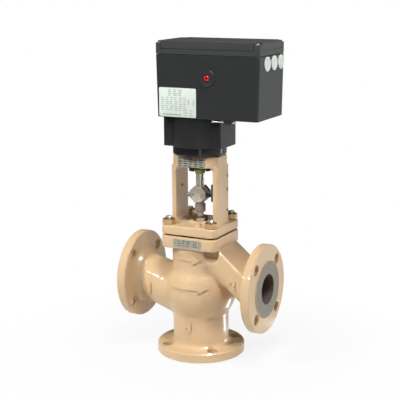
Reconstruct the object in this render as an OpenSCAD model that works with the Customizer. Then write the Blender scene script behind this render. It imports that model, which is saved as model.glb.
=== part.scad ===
// Three-way flanged control valve with a yoke bonnet and an electrohydraulic actuator.
// Millimetres. The origin is the centre of the bottom port's mating face, +Z runs up the stem,
// +X points at the right-hand port and -Y is the front. The stem stands at mid travel.

/* [Ports] */
// Outer diameter of each port flange
flange_d = 152.4; // [140:0.1:170]
// Thickness of a flange plate without its raised face
flange_t = 16; // [12:0.5:22]
// Diameter of the raised face
face_d = 98; // [88:0.5:100]
// Height of the raised face
face_h = 1.6; // [1:0.1:3]
// Bore of each port
port_d = 52; // [44:0.5:56]
// Diameter of the bolt circle
bolt_circle_d = 120.65; // [118:0.05:128]
// Diameter of a flange bolt hole
bolt_hole_d = 19.05; // [16:0.05:20]
// Extra diameter of the left flange's holes, inside the drilling tolerance
left_ream = 0.4; // [0.4:0.05:0.6]
// Bolt holes in each flange
bolt_count = 4; // [4:4:8]
// Face to face length of the two side ports
run_length = 254; // [244:1:280]
// Height of the side ports' axis over the bottom face
run_h = 127; // [120:1:134]

/* [Body casting] */
// Diameter of the globe between the seats
globe_d = 124; // [118:1:130]
// Height of the globe's centre
globe_z = 112; // [108:1:116]
// Diameter of the upright column above and below the globe
column_d = 97; // [92:1:102]
// Diameter of the hub behind each side flange
hub_d = 88; // [84:0.5:91]
// Diameter of the left neck where it leaves its hub
neck_d = 78; // [74:0.5:82]
// Height at which the left neck's axis meets the stem axis
neck_aim = 92.5; // [90:0.5:98]
// Width of the right-hand duct
duct_w = 80; // [76:0.5:84]
// Height of the right-hand duct, square to its axis
duct_h = 46; // [44:0.5:48]
// Fall of the right-hand duct towards its port
duct_fall = 40.7; // [38:0.1:42]
// Radius of the duct's upper edges
duct_edge_r = 5; // [3:0.5:7]
// Radius of the duct's lower edges
duct_belly_r = 20; // [14:0.5:21]
// Radius of the cast blends round the globe
blend_r = 14; // [8:1:20]
// Radius of the fillet behind each flange
hub_fillet = 8; // [5:0.5:11]
// Wall of the globe chamber
wall = 9; // [7:0.5:11]
// Height of the body's upper joint face
deck_z = 214.5; // [208:0.5:226]
// Width of the square body flange and bonnet flange
deck_w = 104; // [100:1:112]
// Corner radius of the square flanges
deck_r = 13; // [9:0.5:16]
// Thickness of the square body flange
deck_t = 21; // [17:0.5:25]
// Depth of the pocket that clears a stud under the flange
pocket_h = 18; // [12:1:20]
// Radius of that pocket
pocket_r = 13; // [11:0.5:15]
// Bore of the upper chamber
chamber_d = 76; // [72:0.5:78]
// Underside of the lower seat web
lower_web_z = 72; // [68:1:75]
// Thickness of the seat webs
web_t = 12; // [10:0.5:13]
// Underside of the upper seat web
upper_web_z = 132; // [130:0.5:134]

/* [Trim] */
// Rated travel of the stem
stroke = 15; // [10:0.5:16]
// Bore of the seats
seat_d = 46; // [42:0.5:47]
// Diameter of the upper seat ring's thread
upper_ring_d = 60; // [58:0.5:62]
// Diameter of the lower seat ring's thread
lower_ring_d = 54; // [52:0.5:55]
// Height of a seat ring's lip
ring_lip = 3; // [2:0.5:4]
// Diameter of the plug stem
stem_d = 12; // [11:0.5:13]
// Diameter of the stem's lower end, which carries the plugs
spindle_d = 10; // [8:0.5:10.5]
// Thickness of a plug's disc
plug_t = 12; // [9:0.5:13]
// Height of a plug's contoured nose
nose_h = 9; // [6:0.5:10]

/* [Bonnet and yoke] */
// Thickness of the body gasket
gasket_t = 3; // [2:0.25:4]
// Thickness of the bonnet flange
bonnet_t = 15.2; // [12:0.2:20]
// Distance between stud centres along each side
stud_pitch = 80; // [76:0.5:82]
// Thread diameter of the studs
stud_d = 12; // [10:0.5:13]
// Width across the flats of a stud nut
nut_af = 19; // [17:0.5:21]
// Height of a stud nut
nut_h = 10; // [8:0.5:12]
// Width over the yoke columns
yoke_w = 86.8; // [82:0.2:94]
// Depth of a yoke column
yoke_depth = 45; // [38:0.5:50]
// Thickness of a yoke column
post_t = 8.8; // [7:0.2:10]
// Clear height of the yoke window
yoke_h = 98.8; // [94:0.2:108]
// Thickness of the yoke head
head_t = 18.5; // [14:0.5:24]
// Depth of the yoke head
head_depth = 64; // [58:0.5:70]
// Width of the flat on the front of the yoke head
head_flat = 55; // [48:0.5:60]
// Fillet inside the yoke window
window_r = 9; // [5:0.5:11]
// Bore of the stuffing box
box_d = 20; // [19:0.5:23]
// Width across the flats of the gland nut
gland_af = 24; // [23:0.5:28]

/* [Stem connector] */
// Width of the connector
clamp_w = 31; // [30:0.5:34]
// Height of the connector
clamp_h = 28; // [26:0.5:34]
// Depth of the connector
clamp_d = 23; // [21:0.5:28]
// Gap left between lock nut and gland nut at the bottom of the travel
lock_gap = 1; // [0.5:0.1:3]
// Chamfer on the connector's corners
clamp_chamfer = 9; // [6:0.5:10]
// Diameter of the knurled lock nut
lock_nut_d = 18.5; // [16:0.5:22]
// Height of the lock nut
lock_nut_h = 17.5; // [14:0.5:20]
// Diameter of the actuator stem
rod_d = 14; // [12:0.5:14.5]

/* [Actuator] */
// Diameter of the threaded collar through the yoke head
collar_d = 36; // [32:0.5:40]
// Outer diameter of the ring nut under the yoke head
ring_nut_d = 42.5; // [41:0.5:50]
// Height of the ring nut
ring_nut_h = 8.5; // [7:0.5:11]
// Width of a slot in the ring nut
ring_slot_w = 20; // [10:0.5:24]
// Height of a slot in the ring nut
ring_slot_h = 4.5; // [3:0.5:6]
// Turn of the first slot to the right of the front
ring_slot_turn = 27; // [0:1:60]
// Diameter of the cylinder's end cap
cap_d = 91.6; // [88:0.2:98]
// Height of the end cap
cap_h = 16; // [12:0.5:20]
// Width of the tower below the case
tower_w = 106.8; // [102:0.2:110]
// Depth of the tower's side wings
tower_depth = 62; // [58:0.5:70]
// Height of the tower
tower_h = 51.7; // [46:0.1:60]
// Diameter of the round front of the tower
tower_d = 95; // [90:0.5:98]
// Bore of the hydraulic cylinder
cylinder_d = 76; // [70:0.5:78]
// Wall of the cylinder barrel inside the case
barrel_wall = 4; // [3:0.5:5]
// Height of the barrel above the tower
barrel_rise = 50; // [47:0.5:52]
// Thickness of the piston
piston_t = 14; // [10:0.5:16]
// Wire of the return spring
spring_wire = 5; // [3:0.5:6]
// Mean diameter of the return spring
spring_d = 54; // [48:0.5:58]
// Turns of the return spring
spring_turns = 5; // [3:1:6]

/* [Case] */
// Width of the case
case_w = 185; // [178:0.5:196]
// How far the case reaches left of the stem axis
case_left = 54.3; // [53:0.1:57]
// Depth of the case
case_d = 102.4; // [100:0.2:110]
// Height of the case up to the cover seal
case_h = 103.3; // [101:0.1:112]
// Wall of the case and its cover
case_wall = 3.5; // [2.5:0.1:4]
// Radius of the case's upright edges
case_r = 4; // [3:0.5:6]
// Thickness of the cover seal
seal_t = 1; // [0.8:0.1:1.5]
// Height of the cover's lower band
band_h = 8; // [6:0.5:10]
// Height of the cover's corner pillars over the band
pillar_h = 10; // [8:0.5:12]
// Height of the cover's raised panel over the pillars
panel_h = 3; // [2:0.5:4]
// Size of the cover's corner notches
notch = 9; // [8.5:0.1:11]
// Step of the cover above its band
cover_step = 0.8; // [0.5:0.1:1.2]
// Diameter of the cable entries
entry_d = 16.5; // [14:0.5:20]
// Head diameter of a blind plug
plug_head_d = 23.5; // [23:0.5:26]
// Spacing of the cable entries
entry_pitch = 28.5; // [27:0.5:30]
// Offset of the middle cable entry towards the back
entry_y = 9.4; // [8:0.2:10.4]
// Depth of an entry's centre under the case rim
entry_drop = 13; // [12:0.5:16]

/* [Manual override] */
// Distance of the override axis right of the stem axis
override_x = 39.7; // [36:0.1:44]
// Height of the override axis over the case floor
override_rise = 67.3; // [65:0.1:72]
// Diameter of the override bezel
bezel_d = 28; // [24:0.5:32]
// Diameter of the turning socket
socket_d = 9.8; // [8.8:0.1:11]
// Width across the flats of the override key
key_af = 4; // [3:0.5:4.5]

/* [Clearances] */
// Radial clearance of a running fit
fit = 0.05; // [0.03:0.01:0.08]
// Radial clearance round a screw or a loose piece
loose = 0.25; // [0.15:0.05:0.4]
// Gap between parts that must not touch
gap = 0.3; // [0.3:0.05:0.5]

/* [Hidden] */
$fn = 64;

// Finishes
paint = "#d9ba91";
machined = "#9a9488";
steel = "#b9bcbd";
dark_steel = "#7d7a74";
bronze = "#b08a52";
black_plastic = "#3a3b3b";
black_metal = "#2a2a2a";
white_plastic = "#e6efe8";
red_plastic = "#e02a28";
green_rubber = "#78964b";
grey_seal = "#4a4a48";
board_green = "#2f6b3f";

// Heights of the stack from the body joint upwards
gasket_clear = 3.5;
bonnet_z0 = deck_z + gasket_t;
bonnet_z1 = bonnet_z0 + bonnet_t;
head_z0 = bonnet_z1 + yoke_h;
head_z1 = head_z0 + head_t;
cap_z1 = head_z1 + cap_h;
tower_z1 = cap_z1 + tower_h;
barrel_z1 = tower_z1 + barrel_rise;
rim_z = tower_z1 + case_h;
cover_z0 = rim_z + seal_t;
band_z1 = cover_z0 + band_h;
pillar_z1 = band_z1 + pillar_h;
cover_z1 = pillar_z1 + panel_h;

// Seats and plugs at mid travel
lower_web_top = lower_web_z + web_t;
upper_web_top = upper_web_z + web_t;
lower_seat_z = lower_web_top + ring_lip;
seat_gap = stroke / 2 + gap;
lower_plug_z0 = lower_seat_z + seat_gap;
upper_plug_z1 = upper_web_z - seat_gap;
plug_r = seat_d / 2 + 2;
stem_shoulder_z = upper_plug_z1 + nose_h;
plug_nut_h = 8;
plug_nut_af = 17;
spindle_z0 = lower_plug_z0 - nose_h - plug_nut_h;

// Stuffing box from the guide bush up to the gland nut
spigot_h = 15;
spigot_z = bonnet_z0 - spigot_h;
hub_h = 2.3;
hub_z1 = bonnet_z1 + hub_h;
bush_z0 = spigot_z + 4;
bush_h = 7;
packing_z1 = hub_z1 - 4;
packing_h = 9;
packing_count = 4;
washer_t = 2;
packing_wire = 1.2;
packing_turns = 3;
washer_z0 = packing_z1 - packing_h - washer_t;
gland_h = 6.5;

// Stem connector and rod
clamp_z0 = hub_z1 + gland_h + lock_gap + stroke / 2 + lock_nut_h;
clamp_z = clamp_z0 + clamp_h / 2;
clamp_slit = 0.6;
stem_top_z = clamp_z - 1.5;
rod_z0 = clamp_z + 1.5;
clamp_screw_x = rod_d / 2 + 3.7;
clamp_screw_d = 5;
clamp_screw_z = clamp_z - 2.5;
clamp_screw_head_h = 4;

// Actuator drive
bore_depth = barrel_z1 - 6 - cap_z1;
cylinder_top_z = cap_z1 + bore_depth;
cap_spigot_h = 5;
piston_z0 = cap_z1 + cap_spigot_h + stroke / 2 + 7.5;
piston_z1 = piston_z0 + piston_t;
collar_z0 = head_z0 - ring_nut_h + ring_slot_h;
wiper_h = 10.5;
wiper_proud = 7.5;
wiper_cone_h = 5;
wiper_lip = 0.8;
rod_nut_h = 8;
rod_nut_af = 22;
barrel_r = cylinder_d / 2 + barrel_wall;

// Case and its fittings
case_cx = case_w / 2 - case_left;
case_x1 = case_w - case_left;
case_front_y = -case_d / 2;
case_floor_z = tower_z1 + case_wall;
screw_inset = 5;
cover_screw_d = 4;
post_r = 4.5;
case_screw_d = 5;
case_screw_reach = 12;
cover_screw_reach = 16;
case_screw_x = tower_w / 2 - 7.4;
case_screw_y = tower_depth / 2 - 7;
entry_z = rim_z - entry_drop;
entry_ys = [for (i = [-1:1]) entry_y + i * entry_pitch];
block_h = 30;
block_depth = 60;
block_x0 = -34;
block_side = 18.3;
block_x1 = override_x + block_side;
motor_d = 46;
motor_l = 54;
board_t = 1.6;
board_y = case_d / 2 - case_wall - 5.7;
board_w = 150;
board_h = 44;
board_z0 = barrel_z1 + 3;
strip_drop = 20;
override_z = tower_z1 + override_rise;
bezel_h = 1.6;
bezel_spigot_r = 8.9;
bezel_spigot_l = 5;
socket_proud = 1;
shaft_d = 8;
shaft_y1 = -4;
key_inset = 4.2;
key_drop = 3.2;
key_y = case_front_y + key_inset;
key_z = tower_z1 - key_drop;
key_arm = 22;
key_x0 = 47;
key_x1 = 90;
clip_x0 = 69;
clip_w = 14;

// Turns its children, built up +Z, so that they run from a to b in the XZ plane
module along_xz(a, b) {
    translate([a[0], 0, a[1]])
        rotate([0, atan2(b[0] - a[0], b[1] - a[1]), 0])
            children();
}

// Distance between two points
function span(a, b) = norm([b[0] - a[0], b[1] - a[1]]);

// Points on an arc in the revolve plane, from angle t0 to t1
function arc(c, r, t0, t1, n) = [
    for (i = [0:n]) [c[0] + r * cos(t0 + (t1 - t0) * i / n), c[1] + r * sin(t0 + (t1 - t0) * i / n)]
];

// Rectangle with round corners, centred
module rounded_rect(w, d, r) {
    square([w - 2 * r, d], center = true);
    square([w, d - 2 * r], center = true);
    for (sx = [-1, 1], sy = [-1, 1])
        translate([sx * (w / 2 - r), sy * (d / 2 - r)])
            circle(r);
}

// Flat ring standing on z = 0
module ring(ro, ri, h) {
    rotate_extrude()
        translate([ri, 0])
            square([ro - ri, h]);
}

// Hexagon prism with a bore, standing on z = 0
module hex_nut(af, bore_r, h) {
    linear_extrude(h)
        difference() {
            circle(r = af / sqrt(3), $fn = 6);
            circle(bore_r);
        }
}

// Places its children at the four studs
module at_studs() {
    for (sx = [-1, 1], sy = [-1, 1])
        translate([sx * stud_pitch / 2, sy * stud_pitch / 2, 0])
            children();
}

// Puts the bottom face's frame at a port: 0 bottom, 1 left, 2 right
module at_port(i) {
    if (i == 0)
        children();
    if (i == 1)
        translate([-run_length / 2, 0, run_h])
            rotate([0, 90, 0])
                children();
    if (i == 2)
        translate([run_length / 2, 0, run_h])
            rotate([0, -90, 0])
                children();
}

hub_z = face_h + flange_t;
duct_wall = 6;

// Outline of a flange with its raised face and the fillet up to a hub of radius r
function flange_points(r) = concat(
    [[0, 0], [face_d / 2, 0], [face_d / 2, face_h], [flange_d / 2, face_h], [flange_d / 2, hub_z]],
    arc([r + hub_fillet, hub_z + hub_fillet], hub_fillet, 270, 180, 4)
);

// Height over the globe's centre at which a blend leaves a neck of radius r
function blend_rise(r) = sqrt(pow(globe_d / 2 + blend_r, 2) - pow(r + blend_r, 2));

// Angle up from the neck's square at which that blend meets the globe
function blend_angle(r) = atan2(blend_rise(r), r + blend_r);

// Ring that blends the globe into a coaxial neck of radius r, above the globe's centre
module blend_ring(r) {
    a = blend_angle(r);
    rise = blend_rise(r);
    rotate_extrude()
        polygon(concat(
            arc([r + blend_r, rise], blend_r, 180 + a, 180, 4),
            [[r - 2, rise + 1], [r - 2, globe_d / 2 * sin(a) - 3]]
        ));
}

// Upright core: bottom flange, lower neck, globe and upper column on the stem axis
module body_core() {
    r = column_d / 2;
    rotate_extrude()
        polygon(concat(flange_points(r), [[r, deck_z - deck_t / 2], [0, deck_z - deck_t / 2]]));
    translate([0, 0, globe_z]) {
        sphere(r = globe_d / 2);
        blend_ring(r);
        mirror([0, 0, 1])
            blend_ring(r);
    }
}

// Ends of the left neck's axis: inside its flange, and on the stem axis
neck_start = [-run_length / 2 + hub_z - 2, run_h];
neck_end = [0, neck_aim];

// Point on the left neck's axis at a given x
function on_neck(x) = [x, neck_aim + (run_h - neck_aim) * x / neck_start[0]];

// Side flange with its hub, which steps down to the neck
module side_flange(i) {
    hub_end = hub_z + hub_fillet;
    step = (hub_d - neck_d) / 2;
    at_port(i)
        rotate_extrude()
            polygon(concat(
                flange_points(hub_d / 2),
                [[neck_d / 2 - 0.5, hub_end + step], [0, hub_end + step]]
            ));
}

// Left neck: leans down from its flange to the stem axis and widens a little
module left_neck() {
    flare = 3;
    along_xz(neck_start, neck_end)
        cylinder(r1 = neck_d / 2, r2 = neck_d / 2 + flare, h = span(neck_start, neck_end) - globe_d / 4);
}

// Point on the right-hand duct's axis, s along it from where it meets the run's axis
duct_x = run_length / 2 - hub_z - 12.9;
function on_duct(s) = [duct_x - s * cos(duct_fall), run_h + s * sin(duct_fall)];

// Section of the duct: flat top and sides, rounder below
module duct_section() {
    h = duct_h / 2;
    w = duct_w / 2;
    for (side = [[1, duct_edge_r], [-1, duct_belly_r]])
        for (sy = [-1, 1])
            translate([side[0] * (h - side[1]), sy * (w - side[1])])
                circle(side[1]);
    translate([duct_belly_r - h, -w])
        square([2 * h - duct_edge_r - duct_belly_r, 2 * w]);
    translate([-h, duct_belly_r - w])
        square([2 * h, 2 * (w - duct_belly_r)]);
    translate([0, duct_edge_r - w])
        square([h, 2 * (w - duct_edge_r)]);
}

// Right neck: a flat-sided duct that falls from under the square flange to its port
module right_neck() {
    low = on_duct(-13);
    high = on_duct(112);
    intersection() {
        along_xz(low, high)
            linear_extrude(span(low, high))
                duct_section();
        translate([0, -duct_w, 0])
            cube([run_length / 2, 2 * duct_w, deck_z - deck_t / 2]);
    }
}

// Square flange of the body, with its cast lower edge
module body_flange() {
    translate([0, 0, deck_z - deck_t])
        linear_extrude(deck_t)
            rounded_rect(deck_w, deck_w, deck_r);
}

// Flow passages from the three ports to the seats
module passages() {
    port_r = port_d / 2;
    low_r = column_d / 2 - wall - 3;
    rotate_extrude()
        polygon([[0, -1], [port_r, -1], [port_r, hub_z + 4], [low_r, hub_z + 32],
                 [low_r, lower_web_z], [0, lower_web_z]]);
    for (i = [1, 2])
        at_port(i)
            translate([0, 0, -1])
                cylinder(r = port_r, h = hub_z + 14);
    intersection() {
        translate([0, 0, globe_z])
            sphere(r = globe_d / 2 - wall);
        translate([0, 0, lower_web_top])
            cylinder(r = globe_d, h = upper_web_z - lower_web_top);
    }
    left_start = on_neck(-run_length / 2 + hub_z + 7);
    left_end = on_neck(-globe_d / 2 + 12);
    intersection() {
        along_xz(left_start, left_end)
            cylinder(r = neck_d / 2 - wall - 1, h = span(left_start, left_end));
        translate([-run_length / 2, -hub_d / 2, lower_web_top])
            cube([run_length / 2, hub_d, hub_d]);
    }
    right_start = on_duct(-4);
    right_end = on_duct(90);
    right_w = 2 * (stud_pitch / 2 - pocket_r - 5);
    along_xz(right_start, right_end)
        linear_extrude(span(right_start, right_end))
            rounded_rect(duct_h - 2 * duct_wall, right_w, duct_belly_r - duct_wall + 2);
    translate([0, 0, upper_web_top])
        cylinder(r = chamber_d / 2, h = deck_z - upper_web_top + 1);
}

// Threaded holes for the seat rings and studs, and the pockets under the studs
module body_bores() {
    translate([0, 0, lower_web_z - 1])
        cylinder(r = lower_ring_d / 2 + fit, h = web_t + 2);
    translate([0, 0, upper_web_z - 1])
        cylinder(r = upper_ring_d / 2 + fit, h = web_t + 2);
    at_studs()
        translate([0, 0, deck_z - deck_t - 1])
            cylinder(r = stud_d / 2 + fit, h = deck_t + 2);
    for (sy = [-1, 1])
        translate([stud_pitch / 2, sy * stud_pitch / 2, deck_z - deck_t - pocket_h])
            cylinder(r = pocket_r, h = pocket_h);
    for (i = [0:2])
        at_port(i)
            for (k = [0:bolt_count - 1])
                rotate((k + 0.5) * 360 / bolt_count)
                    translate([bolt_circle_d / 2, 0, -1])
                        cylinder(r = (bolt_hole_d + (i == 1 ? left_ream : 0)) / 2, h = hub_z + hub_fillet);
}

module valve_body() {
    color(paint)
        difference() {
            union() {
                body_core();
                left_neck();
                right_neck();
                body_flange();
                side_flange(1);
                side_flange(2);
            }
            passages();
            body_bores();
        }
}

// Seat ring: threaded barrel with a lip on the web's upper face
module seat_ring(d, web_z, lip_r) {
    translate([0, 0, web_z])
        ring(d / 2, seat_d / 2, web_t);
    translate([0, 0, web_z + web_t])
        ring(lip_r, seat_d / 2, ring_lip);
}

module upper_seat_ring() {
    color(steel)
        seat_ring(upper_ring_d, upper_web_z, upper_ring_d / 2 + 3);
}

module lower_seat_ring() {
    color(steel)
        seat_ring(lower_ring_d, lower_web_z, lower_ring_d / 2 + 2);
}

module body_gasket() {
    color(black_metal)
        translate([0, 0, deck_z])
            ring(stud_pitch / sqrt(2) - stud_d / 2 - gasket_clear, chamber_d / 2 + 0.5, gasket_t);
}

// Yoke arch seen from the front: two columns with fillets inside the window and at the foot
module yoke_outline() {
    foot_r = 5;
    sink = 0.3;
    difference() {
        translate([-yoke_w / 2, bonnet_z1 - 2])
            square([yoke_w, yoke_h + 4]);
        translate([0, bonnet_z1 + yoke_h / 2])
            rounded_rect(yoke_w - 2 * post_t, yoke_h, window_r);
    }
    for (s = [-1, 1])
        difference() {
            translate([s * (yoke_w / 2 + foot_r / 2 - 1), bonnet_z1 + foot_r / 2 - 1])
                square([foot_r + 2, foot_r + 2], center = true);
            translate([s * (yoke_w / 2 + foot_r), bonnet_z1 + foot_r - sink])
                circle(foot_r);
        }
}

// Head of the yoke: a slab with cut corners, bored for the actuator's collar
module yoke_head() {
    front = head_flat / 2;
    side = head_depth / 2 - (yoke_w / 2 - front) * 0.72;
    translate([0, 0, head_z0])
        linear_extrude(head_t)
            polygon([for (q = [[1, 1], [-1, 1], [-1, -1], [1, -1]])
                each (q[0] * q[1] > 0
                    ? [[q[0] * yoke_w / 2, q[1] * side], [q[0] * front, q[1] * head_depth / 2]]
                    : [[q[0] * front, q[1] * head_depth / 2], [q[0] * yoke_w / 2, q[1] * side]])]);
}

// Fixing holes through the yoke columns, for accessories: heights as shares of the window
module yoke_holes() {
    rear_y = yoke_depth / 2 - 5.5;
    for (drop = [0.18, 0.42, 0.79] * yoke_h)
        translate([yoke_w / 2 - post_t - 1, rear_y, head_z0 - drop])
            rotate([0, 90, 0])
                cylinder(r = 3, h = post_t + 2);
    translate([-yoke_w / 2 - 1, 0, head_z0 - 0.38 * yoke_h])
        rotate([0, 90, 0])
            cylinder(r = 3.3, h = post_t + 2);
}

module bonnet_yoke() {
    color(paint)
        difference() {
            union() {
                translate([0, 0, bonnet_z0])
                    linear_extrude(bonnet_t)
                        rounded_rect(deck_w, deck_w, deck_r);
                translate([0, 0, spigot_z])
                    cylinder(r = chamber_d / 2 - gap, h = spigot_h + 1);
                translate([0, 0, bonnet_z1 - 1])
                    cylinder(r = gland_af / 2 + 5, h = hub_h + 1);
                rotate([90, 0, 0])
                    translate([0, 0, -yoke_depth / 2])
                        linear_extrude(yoke_depth)
                            yoke_outline();
                yoke_head();
            }
            translate([0, 0, spigot_z - 1])
                cylinder(r = stem_d / 2 + 1.5, h = spigot_h);
            translate([0, 0, bush_z0])
                cylinder(r = box_d / 2, h = hub_z1 - bush_z0 + 1);
            translate([0, 0, head_z0 - 3])
                cylinder(r = collar_d / 2 + fit, h = head_t + 4);
            at_studs()
                translate([0, 0, bonnet_z0 - 1])
                    cylinder(r = stud_d / 2 + loose, h = bonnet_t + 2);
            yoke_holes();
        }
}

module body_studs() {
    color(dark_steel)
        at_studs()
            translate([0, 0, deck_z - deck_t + 2])
                cylinder(r = stud_d / 2, h = bonnet_z1 + nut_h + 5 - (deck_z - deck_t + 2));
}

module body_nuts() {
    color(dark_steel)
        at_studs()
            translate([0, 0, bonnet_z1])
                hex_nut(nut_af, stud_d / 2 + fit, nut_h);
}

module guide_bush() {
    color(bronze)
        translate([0, 0, bush_z0])
            ring(box_d / 2 - fit, stem_d / 2 + fit, bush_h);
}

// Ring k of a helical tube: a polygon of wire square to the path
function coil_ring(mean_r, wire_r, z0, rise, k, per_turn, sides) = let (a = 360 * k / per_turn) [
    for (j = [0:sides - 1]) let (b = 360 * j / sides) [
        (mean_r + wire_r * cos(b)) * cos(a),
        (mean_r + wire_r * cos(b)) * sin(a),
        z0 + rise * k / per_turn + wire_r * sin(b)
    ]
];

// Helical spring between two flat ends, drawn as one closed tube
module coil(mean_r, wire_r, z0, z1, turns) {
    per_turn = 8;
    sides = 6;
    rings = turns * per_turn;
    rise = (z1 - z0 - 2 * wire_r) / turns;
    points = [for (k = [0:rings]) each coil_ring(mean_r, wire_r, z0 + wire_r, rise, k, per_turn, sides)];
    walls = [for (k = [0:rings - 1], j = [0:sides - 1])
        let (a = k * sides + j, b = k * sides + (j + 1) % sides, c = a + sides, d = b + sides)
            each [[a, c, b], [b, c, d]]];
    start = [for (j = [1:sides - 2]) [0, j, j + 1]];
    last = rings * sides;
    finish = [for (j = [1:sides - 2]) [last, last + j + 1, last + j]];
    echo("least gap between turns", rise - 2 * wire_r);
    polyhedron(points, concat(walls, start, finish));
}

module packing_spring() {
    color(steel)
        coil((box_d + stem_d) / 4, packing_wire / 2, bush_z0 + bush_h + fit, washer_z0 - fit, packing_turns);
}

module packing_washer() {
    color(steel)
        translate([0, 0, washer_z0])
            ring(box_d / 2 - fit, stem_d / 2 + loose, washer_t);
}

module packing_rings() {
    ring_h = packing_h / packing_count;
    color(white_plastic)
        for (i = [0:packing_count - 1])
            translate([0, 0, washer_z0 + washer_t + i * ring_h])
                ring(box_d / 2 - fit, stem_d / 2 + fit, ring_h - 0.05);
}

module gland_nut() {
    color(dark_steel) {
        translate([0, 0, packing_z1])
            ring(box_d / 2 - fit, stem_d / 2 + loose, hub_z1 - packing_z1);
        translate([0, 0, hub_z1])
            hex_nut(gland_af, stem_d / 2 + loose, gland_h);
    }
}

// Travel scale on the right column's inner face, by its front edge
scale_x1 = yoke_w / 2 - post_t;
scale_t = 3;
scale_w = 14;
scale_h = 29;
scale_rise = 7;

module travel_scale() {
    color(black_plastic)
        translate([scale_x1 - scale_t, -yoke_depth / 2, clamp_z + scale_rise - scale_h / 2])
            cube([scale_t, scale_w, scale_h]);
}

module mounting_nut() {
    slots = 4;
    color(dark_steel)
        translate([0, 0, head_z0 - ring_nut_h])
            difference() {
                ring(ring_nut_d / 2, collar_d / 2 + fit, ring_nut_h);
                for (k = [0:slots - 1])
                    rotate(ring_slot_turn - 90 + k * 360 / slots)
                        translate([0, -ring_slot_w / 2, -1])
                            cube([ring_nut_d, ring_slot_w, ring_slot_h + 1]);
            }
}

wiper_r = rod_d / 2 + 2.2;

module rod_wiper() {
    color(green_rubber)
        translate([0, 0, collar_z0 - wiper_proud])
            rotate_extrude()
                polygon([[rod_d / 2 + fit, 0], [rod_d / 2 + wiper_lip, 0], [wiper_r, wiper_cone_h],
                         [wiper_r, wiper_h], [rod_d / 2 + fit, wiper_h]]);
}

module rod_guide_bush() {
    z0 = collar_z0 - wiper_proud + wiper_h;
    color(bronze)
        translate([0, 0, z0])
            ring(wiper_r, rod_d / 2 + fit, head_z1 - z0);
}

module end_cap() {
    chamfer = 3;
    r = cap_d / 2;
    inner = wiper_r + fit;
    spigot_r = cylinder_d / 2 - loose;
    color(black_metal)
        rotate_extrude()
            polygon([[inner, collar_z0], [collar_d / 2, collar_z0], [collar_d / 2, head_z1],
                     [r - chamfer, head_z1], [r, head_z1 + chamfer], [r, cap_z1],
                     [spigot_r, cap_z1], [spigot_r, cap_z1 + cap_spigot_h],
                     [inner, cap_z1 + cap_spigot_h]]);
}

// Cylinder block: winged tower outside, plain barrel inside the case
module cylinder_housing() {
    color(black_plastic)
        difference() {
            union() {
                translate([0, 0, cap_z1])
                    linear_extrude(tower_h)
                        union() {
                            rounded_rect(tower_w, tower_depth, 3);
                            circle(tower_d / 2);
                        }
                translate([0, 0, cap_z1])
                    cylinder(r = barrel_r, h = barrel_z1 - cap_z1);
            }
            translate([0, 0, cap_z1 - 1])
                cylinder(r = cylinder_d / 2, h = bore_depth + 1);
            for (sx = [-1, 1], sy = [-1, 1])
                translate([sx * case_screw_x, sy * case_screw_y, tower_z1 - case_screw_reach - 1])
                    cylinder(r = case_screw_d / 2 + fit, h = case_screw_reach + 2);
        }
}

module return_spring() {
    color(steel)
        coil(spring_d / 2, spring_wire / 2, piston_z1 + gap, cylinder_top_z - gap, spring_turns);
}

module pump_block() {
    color(machined)
        difference() {
            translate([block_x0, -block_depth / 2, barrel_z1])
                cube([block_x1 - block_x0, block_depth, block_h]);
            translate([override_x, shaft_y1 + 1, override_z])
                rotate([90, 0, 0])
                    cylinder(r = shaft_d / 2 + fit, h = block_depth);
        }
}

module pump_motor() {
    color(steel)
        translate([block_x1, 0, override_z])
            rotate([0, 90, 0])
                rotate_extrude()
                    polygon([[0, 0], [motor_d / 2 - 4, 0], [motor_d / 2 - 4, 6], [motor_d / 2, 6],
                             [motor_d / 2, motor_l - 4], [motor_d / 2 - 4, motor_l], [0, motor_l]]);
}

// Outline of the case, drawn in by an inset
module case_outline(inset) {
    translate([case_cx, 0])
        rounded_rect(case_w - 2 * inset, case_d - 2 * inset, max(case_r - inset, 0.5));
}

// Places its children at the four cover screws
module at_cover_screws() {
    for (sx = [-1, 1], sy = [-1, 1])
        translate([case_cx + sx * (case_w / 2 - screw_inset), sy * (case_d / 2 - screw_inset), 0])
            children();
}

module actuator_case() {
    color(black_plastic)
        difference() {
            union() {
                difference() {
                    translate([0, 0, tower_z1])
                        linear_extrude(case_h)
                            case_outline(0);
                    translate([0, 0, case_floor_z])
                        linear_extrude(case_h)
                            case_outline(case_wall);
                }
                at_cover_screws()
                    translate([0, 0, case_floor_z - 1])
                        cylinder(r = post_r, h = rim_z - case_floor_z + 1);
                for (sx = [-1, 1], sz = [0, 1])
                    translate([case_cx + sx * (board_w / 2 - 8), case_d / 2 - case_wall / 2,
                               board_z0 + 6 + sz * (board_h - 12)])
                        rotate([90, 0, 0])
                            cylinder(r = 3.5, h = case_d / 2 - case_wall / 2 - board_y - board_t);
            }
            translate([0, 0, tower_z1 - 1])
                cylinder(r = barrel_r + loose, h = case_wall + 2);
            for (y = entry_ys)
                translate([case_x1 - case_wall, y, entry_z])
                    rotate([0, 90, 0])
                        cylinder(r = entry_d / 2, h = case_wall + 1);
            translate([override_x, case_front_y + case_wall + 1, override_z])
                rotate([90, 0, 0])
                    cylinder(r = bezel_spigot_r + fit, h = case_wall + 2);
            for (sx = [-1, 1], sy = [-1, 1])
                translate([sx * case_screw_x, sy * case_screw_y, tower_z1 - 1])
                    cylinder(r = case_screw_d / 2 + loose, h = case_wall + 2);
            at_cover_screws()
                translate([0, 0, rim_z - cover_screw_reach - 4])
                    cylinder(r = cover_screw_d / 2 + fit, h = cover_screw_reach + 5);
        }
}

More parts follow.
